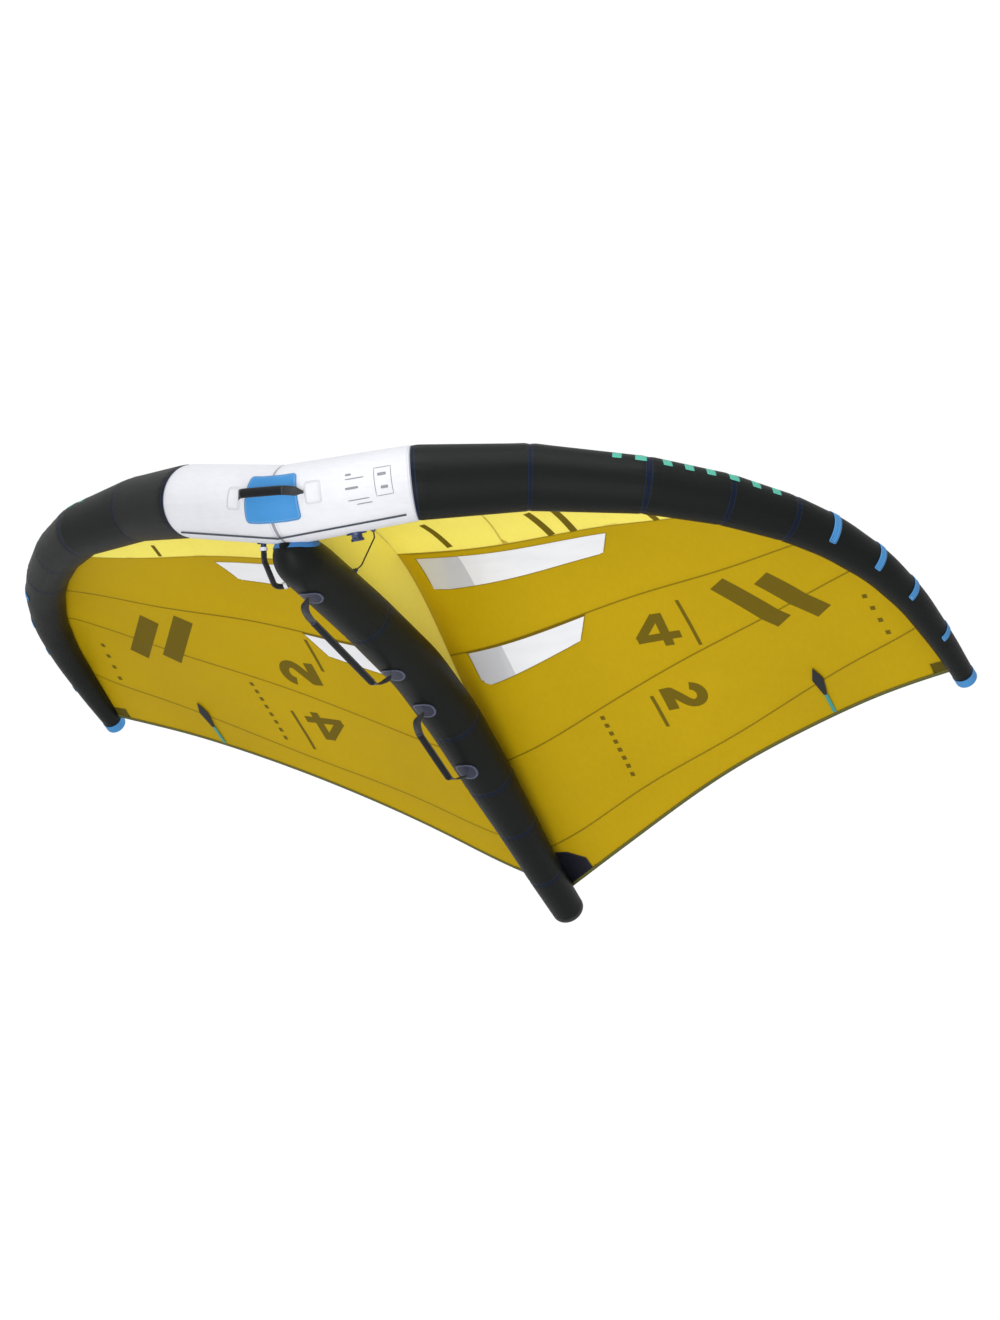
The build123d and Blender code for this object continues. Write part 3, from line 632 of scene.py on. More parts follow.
def rib_points(x, end_y, end_z):
    """Five points of a rib: inside the leading edge, three on the crest, the trailing edge."""
    edge_y, edge_z, radius = [np.interp(x, edge_rows[:, 0], edge_rows[:, k]) for k in (1, 2, 3)]
    lean = radius * half_way_round
    camber = root_camber * (1 - x / half_span) ** 1.5
    points = [(edge_y + 0.7 * lean, edge_z + 0.7 * lean)]
    for share, height in rib_shape:
        y = edge_y + lean + share * (end_y - edge_y - lean)
        z = edge_z + lean + share * (end_z - edge_z - lean) + height * camber
        points.append((y, z))
    return points + [(end_y, end_z)]


rib_spans = np.array([share * half_span for share, _, _ in rib_plan])
rib_table = np.array(
    [
        rib_points(share * half_span, chord * root_chord + axis_y, rise * tip_rise + axis_z)
        for share, chord, rise in rib_plan
    ]
)


def one_spline(knots, values, where):
    """Places on a single natural spline."""
    knots, values = knots[None, :], values[None, :]
    tables = (knots, values, spline_bends(knots, values))
    return spline_at(*[np.repeat(table, len(where), axis=0) for table in tables], where)


def across_span(values, x):
    """Carry one value of every rib across the span."""
    return one_spline(rib_spans, values, x)


def canopy_height(x, y):
    """Height of the canopy's upper side at places in plan."""
    x = np.abs(x)
    knots = np.stack([across_span(rib_table[:, k, 0], x) for k in range(5)], axis=1)
    values = np.stack([across_span(rib_table[:, k, 1], x) for k in range(5)], axis=1)
    return spline_at(knots, values, spline_bends(knots, values), np.maximum(y, knots[:, 0]))


def canopy_back(x):
    """Place in plan of the trailing edge."""
    return across_span(rib_table[:, 4, 0], np.abs(x))


def canopy_front(x):
    """Where the cloth leaves the leading edge, a few millimetres inside the tube's skin."""
    x = np.abs(x)
    edge_y, radius = [np.interp(x, edge_rows[:, 0], edge_rows[:, k]) for k in (1, 3)]
    return np.minimum(edge_y + 0.93 * radius * half_way_round, canopy_back(x) - 0.02)


def seam_line(number, x):
    """Place in plan of a panel seam, smooth between its marks."""
    marks = np.array(seam_plan[number])
    spots = np.clip(np.abs(x) / half_span, 0, marks[-1, 0])
    return axis_y + root_chord * one_spline(marks[:, 0], marks[:, 1], spots)


middle_heights = canopy_height(np.zeros(3), np.array([0.4, 1.0, 1.8]))
print("canopy height along the middle", middle_heights.round(3))

# %% [markdown]
# ## Cutting the canopy
# The right half is drawn flat first, like a sailmaker's floor plan, with rows of points along
# every panel seam. The window and corner outlines are then cut through it with Bisect, one
# straight edge at a time, and what lies inside each outline is split off as its own piece. Only
# then is everything lifted to its height. That way the film, the patches and the cloth meet
# exactly, with no gap to hide.

# %% Flat pattern of the right half
tape_width = 0.012
canopy_tip = rib_plan[-1][0] * half_span
band_counts = [20, 18, 18, 18, 16]
least_band = 0.0015


def pattern_rows(x):
    """Front, the four seams and the hem line in plan, kept in order where they run out."""
    rows = [canopy_front(x)]
    back = canopy_back(x) - tape_width
    for number in range(4):
        rows.append(np.maximum(seam_line(number, x), rows[-1] + least_band))
    return [np.minimum(row, back - least_band * (5 - k)) for k, row in enumerate(rows)] + [back]


def pattern_place(u, v):
    """Rows share out each band between two seams, and columns crowd towards the tip."""
    x = canopy_tip * (1 - (1 - u) ** 1.5)
    rows = np.array(pattern_rows(x))
    position = np.round(v * sum(band_counts)).astype(int)
    edges = np.cumsum([0] + band_counts)
    band = np.clip(np.searchsorted(edges, position, side="right") - 1, 0, 4)
    share = (position - edges[band]) / np.array(band_counts)[band]
    pick = np.arange(len(x))
    y = rows[band, pick] + share * (rows[band + 1, pick] - rows[band, pick])
    return np.stack([x, y, 0 * x], axis=1), np.stack([x, y], axis=1), 0 * x + 1.0


pattern = lay_cloth("canopy", 120, sum(band_counts), pattern_place)
print("pattern points", len(pattern.data.vertices))


# %% [markdown]
# ## Windows and corner patches in plan
# A sailmaker marks the windows and the corner patches on the flat panel before cutting. Each
# outline here is a convex ring of a few places in plan, with its corners cut off short, so that
# a few straight cuts follow it. The distance to the nearest outline tells the cloth where its
# stitching runs.

# %% Outlines of windows and patches
def plan(*points):
    """Places in plan, from millimetres to the right of the middle and aft of the leading edge."""
    return [(x / 1000, axis_y + aft / 1000) for x, aft in points]


front_window = plan(
    (45, 606), (44, 727), (48, 735), (57, 740), (92, 741), (578, 690), (590, 686), (597, 677), (632, 606)
)
rear_window = plan(
    (63, 978), (63, 1079), (66, 1089), (74, 1096), (96, 1101), (403, 991), (414, 984), (420, 974), (458, 898)
)
tail_corner = plan((-5, 1815), (60, 1815), (112, 1845), (132, 1960), (-5, 2100))
tip_corner = plan((1345, 1340), (1345, 1450), (1440, 1450), (1440, 1340))
outlines = (front_window, rear_window, tail_corner, tip_corner)


def inside(outline, x, y):
    """Whether places in plan lie inside a convex outline."""
    signs = []
    for (x0, y0), (x1, y1) in zip(outline, outline[1:] + outline[:1]):
        signs.append((x1 - x0) * (y - y0) - (y1 - y0) * (x - x0))
    signs = np.array(signs)
    return (signs > 0).all(axis=0) | (signs < 0).all(axis=0)


def choose_faces(piece, wanted):
    """Select faces in object mode by their centres in plan."""
    mesh = piece.data
    centres = np.zeros(3 * len(mesh.polygons))
    mesh.polygons.foreach_get("center", centres)
    centres = centres.reshape(-1, 3)
    chosen = wanted(centres[:, 0], centres[:, 1])
    bpy.ops.object.mode_set(mode="EDIT")
    bpy.ops.mesh.select_all(action="DESELECT")
    bpy.ops.object.mode_set(mode="OBJECT")
    mesh.polygons.foreach_set("select", chosen)


def split_off(piece, name):
    """Make a piece of its own from the chosen faces."""
    bpy.ops.object.mode_set(mode="EDIT")
    bpy.ops.mesh.separate(type="SELECTED")
    bpy.ops.object.mode_set(mode="OBJECT")
    part = [thing for thing in bpy.context.selected_objects if thing != piece][0]
    part.name = part.data.name = name
    print(name, "split off with", len(part.data.polygons), "faces")
    return part


def cut_out(piece, outline, name):
    """Cut an outline through the flat pattern and split off what lies inside it."""
    xs, ys = zip(*outline)
    around = 0.03
    low_x, high_x = min(xs) - around, max(xs) + around
    low_y, high_y = min(ys) - around, max(ys) + around
    only(piece)
    for (x0, y0), (x1, y1) in zip(outline, outline[1:] + outline[:1]):
        choose_faces(piece, lambda x, y: (x > low_x) & (x < high_x) & (y > low_y) & (y < high_y))
        bpy.ops.object.mode_set(mode="EDIT")
        bpy.ops.mesh.bisect(plane_co=(x0, y0, 0), plane_no=(y1 - y0, x0 - x1, 0))
        bpy.ops.object.mode_set(mode="OBJECT")
    choose_faces(piece, lambda x, y: inside(outline, x, y))
    return split_off(piece, name)


cuts = {
    "window_front": cut_out(pattern, front_window, "film_front_right"),
    "window_rear": cut_out(pattern, rear_window, "film_rear_right"),
    "tail_patch": cut_out(pattern, tail_corner, "tail_corner_right"),
    "tip_patch": cut_out(pattern, tip_corner, "tip_corner_right"),
}

# %% [markdown]
# ## The front band
# The canopy behind the leading edge starts with a band of a brighter yellow, which is painted
# light: the same cloth as it looks lit through by the sky. It is split from the flat pattern along
# its seam, as the real one is another panel.

# %% Split the front band from the main canopy
only(pattern)
choose_faces(pattern, lambda x, y: y < np.array(pattern_rows(np.abs(x)))[1])
front_band = split_off(pattern, "canopy_front")

# %% [markdown]
# ## Lifting the cloth
# Each flat piece is raised to the canopy's height, and a pull is added that drawings leave out:
# cloth between two seams swells by a few millimetres in the wind, and the seams themselves stay
# tight. The distance to the nearest seam is stored at the same time.

# %% Lift and measure
def distance_to_outline(outline, x, y):
    """Distance in plan to the nearest edge of an outline."""
    best = np.full_like(x, np.inf)
    for (x0, y0), (x1, y1) in zip(outline, outline[1:] + outline[:1]):
        length2 = (x1 - x0) ** 2 + (y1 - y0) ** 2
        share = np.clip(((x - x0) * (x1 - x0) + (y - y0) * (y1 - y0)) / length2, 0, 1)
        best = np.minimum(best, np.hypot(x - x0 - share * (x1 - x0), y - y0 - share * (y1 - y0)))
    return best


band_joins = [0.337, 0.664, 0.893]
swell_share, most_swell = 0.02, 0.006


def seam_distance(x, y):
    """Distance in plan to the nearest panel seam, window edge or hem."""
    x = np.abs(x)
    best = np.abs(canopy_back(x) - tape_width - y)
    for number in range(4):
        best = np.minimum(best, np.abs(seam_line(number, x) - y))
    for outline in outlines:
        best = np.minimum(best, distance_to_outline(outline, x, y))
    # the front band is pieced together from short lengths
    in_band = y < seam_line(0, x)
    for span in band_joins:
        best = np.where(in_band, np.minimum(best, np.abs(x - span)), best)
    return best


def panel_swell(x, y):
    """Swelling of the cloth between its panel seams, none at a seam."""
    rows = np.array(pattern_rows(np.abs(x)))
    swollen = np.zeros_like(x)
    for low, high in zip(rows, rows[1:]):
        share = np.clip((y - low) / np.maximum(high - low, 0.01), 0, 1)
        bulge = 4 * share * (1 - share) * swell_share * (high - low)
        swollen += np.where((y >= low) & (y <= high), bulge, 0)
    return np.minimum(swollen, most_swell)


def cloth_height(x, y):
    """Height of the middle of the cloth, swelling and all."""
    return canopy_height(x, y) + panel_swell(x, y) - cloth / 2


def lift(piece):
    """Raise a flat piece to the canopy's height."""
    flat = read_points(piece)
    x, y = flat[:, 0], flat[:, 1]
    height = cloth_height(x, y)
    store(piece, np.stack([x, y], axis=1), seam_distance(x, y))
    write_points(piece, np.stack([x, y, height], axis=1))


for piece in [pattern, front_band, *cuts.values()]:
    lift(piece)


def both_halves(piece):
    """Mirror a right-hand piece about the middle and weld it into one sheet."""
    only(piece)
    copy = piece.modifiers.new("other half", "MIRROR")
    copy.use_mirror_merge = True
    copy.merge_threshold = 0.0002
    bpy.ops.object.modifier_apply(modifier="other half")
    bpy.ops.object.shade_smooth()


def mirrored_copy(piece, name):
    """A left-hand piece from a right-hand one, with its own mesh, the right way out."""
    only(piece)
    bpy.ops.object.duplicate()
    twin = bpy.context.object
    twin.name = twin.data.name = name
    points = read_points(twin)
    points[:, 0] *= -1
    write_points(twin, points)
    only(twin)
    bpy.ops.object.mode_set(mode="EDIT")
    bpy.ops.mesh.select_all(action="SELECT")
    bpy.ops.mesh.flip_normals()
    bpy.ops.object.mode_set(mode="OBJECT")
    return twin


both_halves(pattern)
both_halves(front_band)


def cloth_area(piece):
    return sum(face.area for face in piece.data.polygons)


print("canopy area", round(cloth_area(pattern), 3), "front band area", round(cloth_area(front_band), 3))

# %% [markdown]
# ## Canopy cloth
# The canopy is a light ripstop nylon: mustard yellow for the panels, and a paler, brighter yellow
# along the front and on the web, which is painted light: the same cloth as it looks lit through by the sky.

# %% Canopy materials
yellow_cloth = sewn_cloth(
    "mustard_ripstop",
    colour=shade(197, 164, 5),
    seam_and_shade_colour=shade(118, 97, 6),
    thread_colour=shade(140, 116, 12),
    roughness=0.6,
    stop=0.005,
    fold=0.0014,
    shine=0.10,
)
# painted light: a brighter copy of the mustard cloth, as it looks lit through by the sky
painted_lit_cloth = sewn_cloth(
    "bright_yellow_ripstop",
    colour=shade(255, 233, 106),
    seam_and_shade_colour=shade(186, 158, 56),
    thread_colour=shade(206, 180, 80),
    roughness=0.6,
    stop=0.005,
    fold=0.0012,
    shine=0.10,
)
# painted glow: the front cloth emits its own colour, standing in for daylight shining through it
front_shader = painted_lit_cloth.node_tree.nodes["Principled BSDF"]
painted_glow_colour = front_shader.inputs["Base Color"].links[0].from_socket
join(painted_lit_cloth, painted_glow_colour, front_shader.inputs["Emission Color"])
front_shader.inputs["Emission Strength"].default_value = 0.12
sides = {"right": 1, "left": -1}
panel_nodes = [f"canopy_panel_{number}_{side}" for number in (1, 2, 3, 4) for side in sides]
band_nodes = [f"canopy_front_band_{side}" for side in sides]
finish_piece(pattern, yellow_cloth, "yellow_cloth", "wing", *panel_nodes)
finish_piece(front_band, painted_lit_cloth, "bright_yellow_cloth", "wing", *band_nodes)

# %% [markdown]
# ## Windows and corner patches
# The windows are clear film, grey over their inner end.
# Film is smooth and shiny with faint creases. The corner patch at the tail is black spinnaker cloth,
# and the tip corners are given a dark olive cloth.

# %% Film
grey_end_width = 0.180


def film_material(name):
    """Clear film with faint creases, greyer over its inner end."""
    material, shader = new_material(name, 0.12)
    cut = coordinates(material)
    creases = noise(material, cut, 7.0, 3.0, (1.0, 2.5, 1.0))
    across, _, _ = split(material, cut)
    grey_end = calculate(material, "LESS_THAN", across, grey_end_width)
    cloudy = blend_colours(material, creases, shade(232, 233, 238), shade(250, 251, 254))
    colour = blend_colours(material, grey_end, cloudy, shade(205, 206, 211))
    join(material, colour, shader.inputs["Base Color"])
    shader.inputs["Coat Weight"].default_value = 0.4
    add_bump(material, shader, creases, 0.004, 0.5)
    return material


window_film = film_material("window_film")
black_patch = sewn_cloth(
    "black_corner_cloth",
    colour=shade(14, 16, 30),
    seam_and_shade_colour=shade(6, 7, 16),
    thread_colour=shade(60, 66, 90),
    roughness=0.5,
    fold=0.0016,
)
olive_patch = sewn_cloth(
    "olive_corner_cloth",
    colour=shade(96, 84, 18),
    seam_and_shade_colour=shade(70, 62, 14),
    thread_colour=shade(130, 112, 30),
    roughness=0.6,
    fold=0.0014,
    shine=0.1,
)
print("materials", window_film.name, black_patch.name, olive_patch.name)

# %% [markdown]
# ## Windows and patches on both sides
# The left side of the wing is the right side mirrored. The cut pieces are mirrored one by one
# and not joined, because a left and a right window are two separate pieces of film.

# %% Left-hand windows and patches
cut_finishes = {
    "window_front": (window_film, "window_film"),
    "window_rear": (window_film, "window_film"),
    "tail_patch": (black_patch, "black_patch"),
    "tip_patch": (olive_patch, "black_patch"),
}
for key, piece in cuts.items():
    twin = mirrored_copy(piece, piece.name.replace("right", "left"))
    for side, half in (("right", piece), ("left", twin)):
        only(half)
        bpy.ops.object.shade_smooth()
        finish_piece(half, *cut_finishes[key], "wing", f"{key}_{side}")

# %% [markdown]
# ## Hem
# The trailing edge is bound with a folded tape, sewn on with one row of stitches. It is a narrow
# strip of the same shape as the canopy, made a little thicker.

# %% Hem tape
hem_cloth = sewn_cloth(
    "olive_hem_tape",
    colour=shade(92, 92, 34),
    seam_and_shade_colour=shade(60, 62, 26),
    thread_colour=shade(140, 136, 70),
    roughness=0.6,
    fold=0.0008,
)
for side, sign in sides.items():

    def hem_place(u, v, sign=sign):
        x = canopy_tip * (1 - (1 - u) ** 1.2)
        y = canopy_back(x) - tape_width * (1 - v) - 0.001
        z = canopy_height(x, y) - cloth / 2
        away = np.abs(v - 0.25) * tape_width + 0.0009
        return np.stack([sign * x, y, z], axis=1), np.stack([x, y], axis=1), away

    tape = lay_cloth(f"hem_{side}", 160, 4, hem_place)
    thicken(tape, 2 * cloth, 0.0)
    finish_piece(tape, hem_cloth, "hem_tape", "wing", f"hem_tape_{side}")

# %% [markdown]
# ## The web
# An upright web of the brighter yellow cloth, whose brightness is painted light, joins the canopy to the strut.
# Its top follows the middle of the canopy and its foot the top of the strut, so it is laid between those two lines.

# %% Web between strut and canopy
web_from, web_to = 0.078, 1.70
foot_overlap = 0.006


def strut_top(y):
    """Height of the strut's upper line."""
    line_y, line_z, radius = [strut["values"][:, k] for k in (1, 2, 3)]
    return np.interp(y, line_y, line_z + radius)


def web_place(u, v):
    y = axis_y + web_from + (web_to - web_from) * u
    top = canopy_height(0 * y, y) - cloth
    foot = np.minimum(strut_top(y) - foot_overlap, top - 0.001)
    z = foot + (top - foot) * v
    sag = 0.004 * np.sin(pi * v) * np.sin(9 * u + 1.0)
    near = np.minimum(z - foot - foot_overlap, top - z) + 0.001
    return np.stack([sag, y, z], axis=1), np.stack([y, z], axis=1), near


web = lay_cloth("strut_web_cloth", 150, 24, web_place)
finish_piece(web, painted_lit_cloth, "bright_yellow_cloth", "wing", "strut_web")

# %% [markdown]
# ## Area of the web
# The web's area is printed. The canopy and its front band are stretched between the tubes, and
# the windows, patches and hems are sewn into them.

print("web area", round(cloth_area(web), 3))

# %% [markdown]
# ## Bands and the blue nose pad
# Blue trim marks the hard-wearing places: four bands near each tip, and a pad behind the front
# handle that takes the knocks of the rider's knuckles. Each is a patch laid on the tube's skin
# and given the thickness of its cloth.

# %% Patches laid on a tube
stitches_inside = 0.004


def radius_at(line, along):
    """Radius of a tube at one distance along it."""
    return float(tube_radius(line, np.array([along]))[0])


def patch_on(name, line, spot, half_along, angle, half_angle, corner, lift, thickness, counts):
    """Rounded patch on a tube, about one distance along it and one angle round it."""
    radius = radius_at(line, spot)
    half_round = half_angle * radius

    def place(u, v):
        a, b = 2 * u - 1, 2 * v - 1
        # squeeze the grid's corners inwards so that its outline has rounded corners
        dx, dy = a * half_round, b * half_along
        over_x = np.maximum(np.abs(dx) - (half_round - corner), 0) / corner
        over_y = np.maximum(np.abs(dy) - (half_along - corner), 0) / corner
        both = np.maximum(over_x, over_y) / np.maximum(np.hypot(over_x, over_y), 1e-9)
        both = np.where((over_x > 0) & (over_y > 0), both, 1.0)
        dx = np.sign(dx) * (np.minimum(np.abs(dx), half_round - corner) + over_x * both * corner)
        dy = np.sign(dy) * (np.minimum(np.abs(dy), half_along - corner) + over_y * both * corner)
        points = tube_point(line, spot + dy, angle + dx / radius, np.full_like(u, lift))
        rim = np.minimum(half_round - np.abs(a * half_round), half_along - np.abs(b * half_along))
        return points, np.stack([dx, dy], axis=1), np.abs(rim - stitches_inside)

    piece = lay_cloth(name, counts[0], counts[1], place)
    thicken(piece, thickness, 1.0)
    return piece


# %% [markdown]
# ## Bands near the tips
# The four bands of a side are strips of blue trim sewn over panel seams, where the bent tube
# chafes. They go round the front of the tube only, so each is a long narrow patch. The four are
# joined, as they are all one cloth and one part of the wing.

# %% Four bands near each tip
blue_cloth = sewn_cloth(
    "blue_trim_cloth",
    colour=shade(66, 146, 212),
    seam_and_shade_colour=shade(34, 96, 160),
    thread_colour=shade(120, 180, 230),
    roughness=0.55,
    fold=0.0008,
)
band_shape = dict(half_along=0.011, angle=radians(51), half_angle=radians(88), corner=0.004)
band_cloth = dict(lift=0.0006, thickness=0.0016, counts=(48, 6))
for side, sign in sides.items():
    strips = []
    for station, share in [(5, 0.82), (6, 0.82), (7, 0.72), (8, 0.76)]:
        before, after = edge["marks"][middle + station : middle + station + 2]
        spot = edge_middle + sign * (before + share * (after - before) - edge_middle)
        strips.append(patch_on(f"band_{station}_{side}", edge, spot, **band_shape, **band_cloth))
    bands = join_pieces(strips, f"tip_bands_{side}")
    finish_piece(bands, blue_cloth, "blue_cloth", "wing", f"edge_bands_{side}")

# %% [markdown]
# ## Pad and anchors of the front handle
# The blue pad keeps the rider's knuckles off the bare cloth. The handle's webbing is sewn to a
# white patch on either side of it, which spreads the pull. All three are laid on the nose of
# the tube, square to the way the handle stands off.

# %% Pad and anchors of the front handle
nose_angle = radians(90) + handle_drop
pad = patch_on(
    "knuckle_pad",
    edge,
    edge_middle,
    half_along=0.060,
    angle=nose_angle,
    half_angle=0.62,
    corner=0.012,
    lift=0.0005,
    thickness=0.0028,
    counts=(40, 24),
)
finish_piece(pad, blue_cloth, "blue_cloth", "wing", "front_handle_pad")
white_patch = sewn_cloth(
    "white_patch_cloth",
    colour=shade(230, 231, 236),
    seam_and_shade_colour=shade(206, 208, 214),
    thread_colour=shade(214, 216, 220),
    roughness=0.5,
    fold=0.0006,
    shine=0.15,
)
anchor_shape = dict(half_along=0.023, angle=nose_angle, half_angle=0.29, corner=0.010)
anchor_cloth = dict(lift=0.0005, thickness=0.0018, counts=(20, 16))
anchors = [
    patch_on(f"anchor_{sign}", edge, edge_middle + sign * 0.1035, **anchor_shape, **anchor_cloth) for sign in (-1, 1)
]
anchor_pair = join_pieces(anchors, "front_handle_anchor_patches")
finish_piece(anchor_pair, white_patch, "white_patch", "wing", "front_handle_anchors")

# %% [markdown]
# ## Handles
# Each handle is flat webbing that leaves its anchor, stands off the tube far enough for gloved
# fingers, and runs through a soft foam sleeve. The webbing is a ribbon along a rounded path. The
# sleeve is a padded tube, fattest in the middle, closed by a sewn seam.

# %% Paths of the handles
front_pivot = np.array([0, 0.006125, 0.018512])
handle_out = np.array([0, -cos(handle_drop), -sin(handle_drop)])
handle_down = np.array([0, sin(handle_drop), -cos(handle_drop)])
side_way = np.array([1.0, 0, 0])
reach, standoff = 0.100, 0.052
corner_out = side_way * 0.7 * reach
paths = {
    "front_handle": [
        front_pivot - side_way * reach,
        front_pivot - corner_out + handle_out * standoff,
        front_pivot + corner_out + handle_out * standoff,
        front_pivot + side_way * reach,
    ]
}
# each strut handle: its two sewn ends, its drop, and its run as shares of the way and of the drop
grip_plan = {
    "front_grip": (
        (0.308636, -0.106549),
        (0.806871, -0.022503),
        0.062,
        [(0, 0), (-0.01, 0.60), (0.06, 0.82), (0.87, 1.08), (0.96, 0.52), (1, 0)],
    ),
    "rear_grip": (
        (1.023236, -0.003714),
        (1.338851, -0.012524),
        0.058,
        [(0, 0), (-0.08, 0.85), (0.02, 1.18), (0.73, 1.24), (0.87, 0.70), (1, 0)],
    ),
}
for name, (first, last, drop, run) in grip_plan.items():
    first, last = np.array([0, *first]), np.array([0, *last])
    paths[name] = [first + (last - first) * share - np.array([0, 0, hang * drop]) for share, hang in run]
print("handle paths", {name: len(path) for name, path in paths.items()})


def rounded_path(points, window, step=0.002):
    """A path with its corners rounded, as points a step apart."""
    points = np.array(points)
    marks = np.concatenate([[0], np.cumsum(np.linalg.norm(np.diff(points, axis=0), axis=1))])
    along = np.linspace(0, marks[-1], 1 + int(marks[-1] / step))
    room = np.minimum(window, np.minimum(along, marks[-1] - along))
    spots = along[:, None] + room[:, None] * np.linspace(-1, 1, 13)
    return along, np.stack([np.interp(spots, marks, points[:, k]).mean(axis=1) for k in range(3)], axis=1)


def along_path(path, where):
    """Points of a path at distances along it."""
    along, points = path
    return np.stack([np.interp(where, along, points[:, k]) for k in range(3)], axis=1)


end_share, fold_length = 0.34, 0.030


# %% [markdown]
# ## Webbing
# Webbing is woven flat, and it folds narrower where it is sewn down. So the ribbon keeps its
# full width along the handle and draws in over the last few centimetres. A small bevel rounds
# its edges, as the selvedge of real webbing is never sharp.

# %% Webbing
def webbing(name, path, wide_way, width, thickness):
    """Flat webbing along a path, wide in one direction."""
    length = path[0][-1]

    def place(u, v):
        where = v * length
        # each end is folded to a third of its width at its stitching, so it turns clear of its patch
        opened = np.clip(np.minimum(where, length - where) / fold_length, 0, 1)
        opened = opened * opened * (3 - 2 * opened)
        off = (u - 0.5) * width * (end_share + (1 - end_share) * opened)
        points = along_path(path, where) + off[:, None] * wide_way
        return points, np.stack([off, where], axis=1), np.abs(np.abs(off) - width / 2 + 0.003)

    piece = lay_cloth(name, 8, max(20, int(length / 0.004)), place)
    thicken(piece, thickness, 0.0)
    only(piece)
    edges = piece.modifiers.new("soft edges", "BEVEL")
    edges.width = 0.0006
    edges.segments = 2
    edges.limit_method = "ANGLE"
    edges.angle_limit = radians(40)
    bpy.ops.object.modifier_apply(modifier="soft edges")
    bpy.ops.object.shade_smooth_by_angle(angle=radians(50))
    return piece


# %% [markdown]
# ## Foam sleeve
# The sleeve is foam rolled round the webbing in a cloth cover, so it is a little flat, fuller in
# the middle, and rounded in at both ends. Faint rings show where the cover draws tight. It is a
# grid wrapped round the path like the tubes, with its ends closed.

# %% Foam sleeve
end_rounding, wrap_ridge = 0.006, 0.012


def foam_sleeve(name, path, start, end, radius, squeeze):
    """Padded tube round a stretch of a path, with rounded ends and a sewn seam underneath."""
    length = end - start
    along, points = path
    heading = np.gradient(points, along, axis=0)
    heading /= np.linalg.norm(heading, axis=1)[:, None]
    wide_way = side_way if abs(heading[len(heading) // 2][0]) < 0.5 else handle_down

    def place(u, v):
        # crowd the rows towards the rounded ends
        t = (1 - np.cos(pi * v)) / 2
        where = start + t * length
        centre = along_path(path, where)
        ahead = np.stack([np.interp(where, along, heading[:, k]) for k in range(3)], axis=1)
        ahead /= np.linalg.norm(ahead, axis=1)[:, None]
        wide = wide_way - ahead * (ahead @ wide_way)[:, None]
        wide /= np.linalg.norm(wide, axis=1)[:, None]
        thin = np.cross(ahead, wide)
        angle = 2 * pi * u
        end_gap = np.minimum(t, 1 - t) * length
        rounding = np.sqrt(np.clip(1 - np.clip(1 - end_gap / end_rounding, 0, 1) ** 2, 0, 1))
        fat = radius * (0.55 + 0.45 * rounding) * (0.97 + 0.03 * np.sin(pi * t))
        groove = 0.0008 * np.exp(-(((angle - pi) / 0.10) ** 2))
        ridges = 0.00025 * np.cos(2 * pi * where / wrap_ridge)
        size = fat - groove + ridges
        ring = wide * (np.cos(angle) * size)[:, None] + thin * (np.sin(angle) * size * squeeze)[:, None]
        near = np.minimum(np.abs(angle - pi) * radius, end_gap * 0.5 + 0.002)
        return centre + ring, np.stack([angle * radius, where], axis=1), near

    piece = lay_cloth(name, 40, max(40, int(length / 0.003)), place, closed=True)
    close_ends(piece)
    return piece


# %% [markdown]
# ## Webbing and foam covers
# Webbing has coarse slanting ribs with finer threads across them, so two waves make its relief.
# The sleeves' cover is a dull woven cloth with a little nap, and the cloth recipe serves for it
# with a smaller stop and more sheen.

# %% Webbing and foam materials
def webbing_material(name, colour):
    """Narrow herringbone webbing: ribs across it, and a finer thread along it."""
    material, shader = new_material(name, 0.7)
    across, along, _ = split(material, coordinates(material))
    fold = calculate(material, "ABSOLUTE", across)
    ribs = wave_along(material, "SINE", calculate(material, "ADD", along, fold), pitch=0.0022)
    threads = wave_along(material, "SINE", across, pitch=0.0012)
    height = calculate(material, "MULTIPLY_ADD", threads, 0.3, ribs)
    shares = calculate(material, "MULTIPLY_ADD", height, 0.35, 0.5, clamp=True)
    base = blend_colours(material, shares, scaled(colour, 0.55), scaled(colour, 1.3, 0.002))
    join(material, base, shader.inputs["Base Color"])
    add_bump(material, shader, height, 0.0004)
    shader.inputs["Sheen Weight"].default_value = 0.2
    return material


black_webbing = webbing_material("black_webbing", shade(26, 28, 32))
foam_cover = sewn_cloth(
    "foam_grip_cover",
    colour=shade(20, 22, 26),
    seam_and_shade_colour=shade(16, 18, 22),
    thread_colour=shade(84, 88, 98),
    roughness=0.62,
    stop=0.0032,
    fold=0.0012,
    wear=0.5,
    sheen=0.08,
    shine=0.15,
)
print("materials", black_webbing.name, foam_cover.name)

# %% [markdown]
# ## Three handles
# All three handles are made alike: a strap along a rounded path and a sleeve over the part that
# a hand holds. Only their sizes differ, so one table and one loop make them.

# %% Make the three handles
# rounding of the corners, wide way and width of the webbing; reach, radius and flatness of the foam
grips = {
    "front_handle": (0.020, handle_down, 0.026, (0.25, 0.75), 0.0125, 0.86),
    "front_grip": (0.016, side_way, 0.025, (0.17, 0.80), 0.0108, 0.92),
    "rear_grip": (0.016, side_way, 0.025, (0.22, 0.73), 0.0108, 0.92),
}
for name, (corner, wide_way, width, (first, last), radius, squeeze) in grips.items():
    path = rounded_path(paths[name], corner)
    length = path[0][-1]
    strap = webbing(f"{name}_webbing", path, wide_way, width, thickness=0.0026)
    finish_piece(strap, black_webbing, "webbing", name, f"{name}_strap")
    foam = foam_sleeve(f"{name}_foam", path, first * length, last * length, radius, squeeze)
    finish_piece(foam, foam_cover, "grip_foam", name, f"{name}_sleeve")

# %% [markdown]
# ## Anchor patches on the strut
# Where a handle's webbing is sewn to the strut, an oval patch spreads its pull. The cloth is a
# smooth, slightly violet grey, with a ring of stitches round its rim.

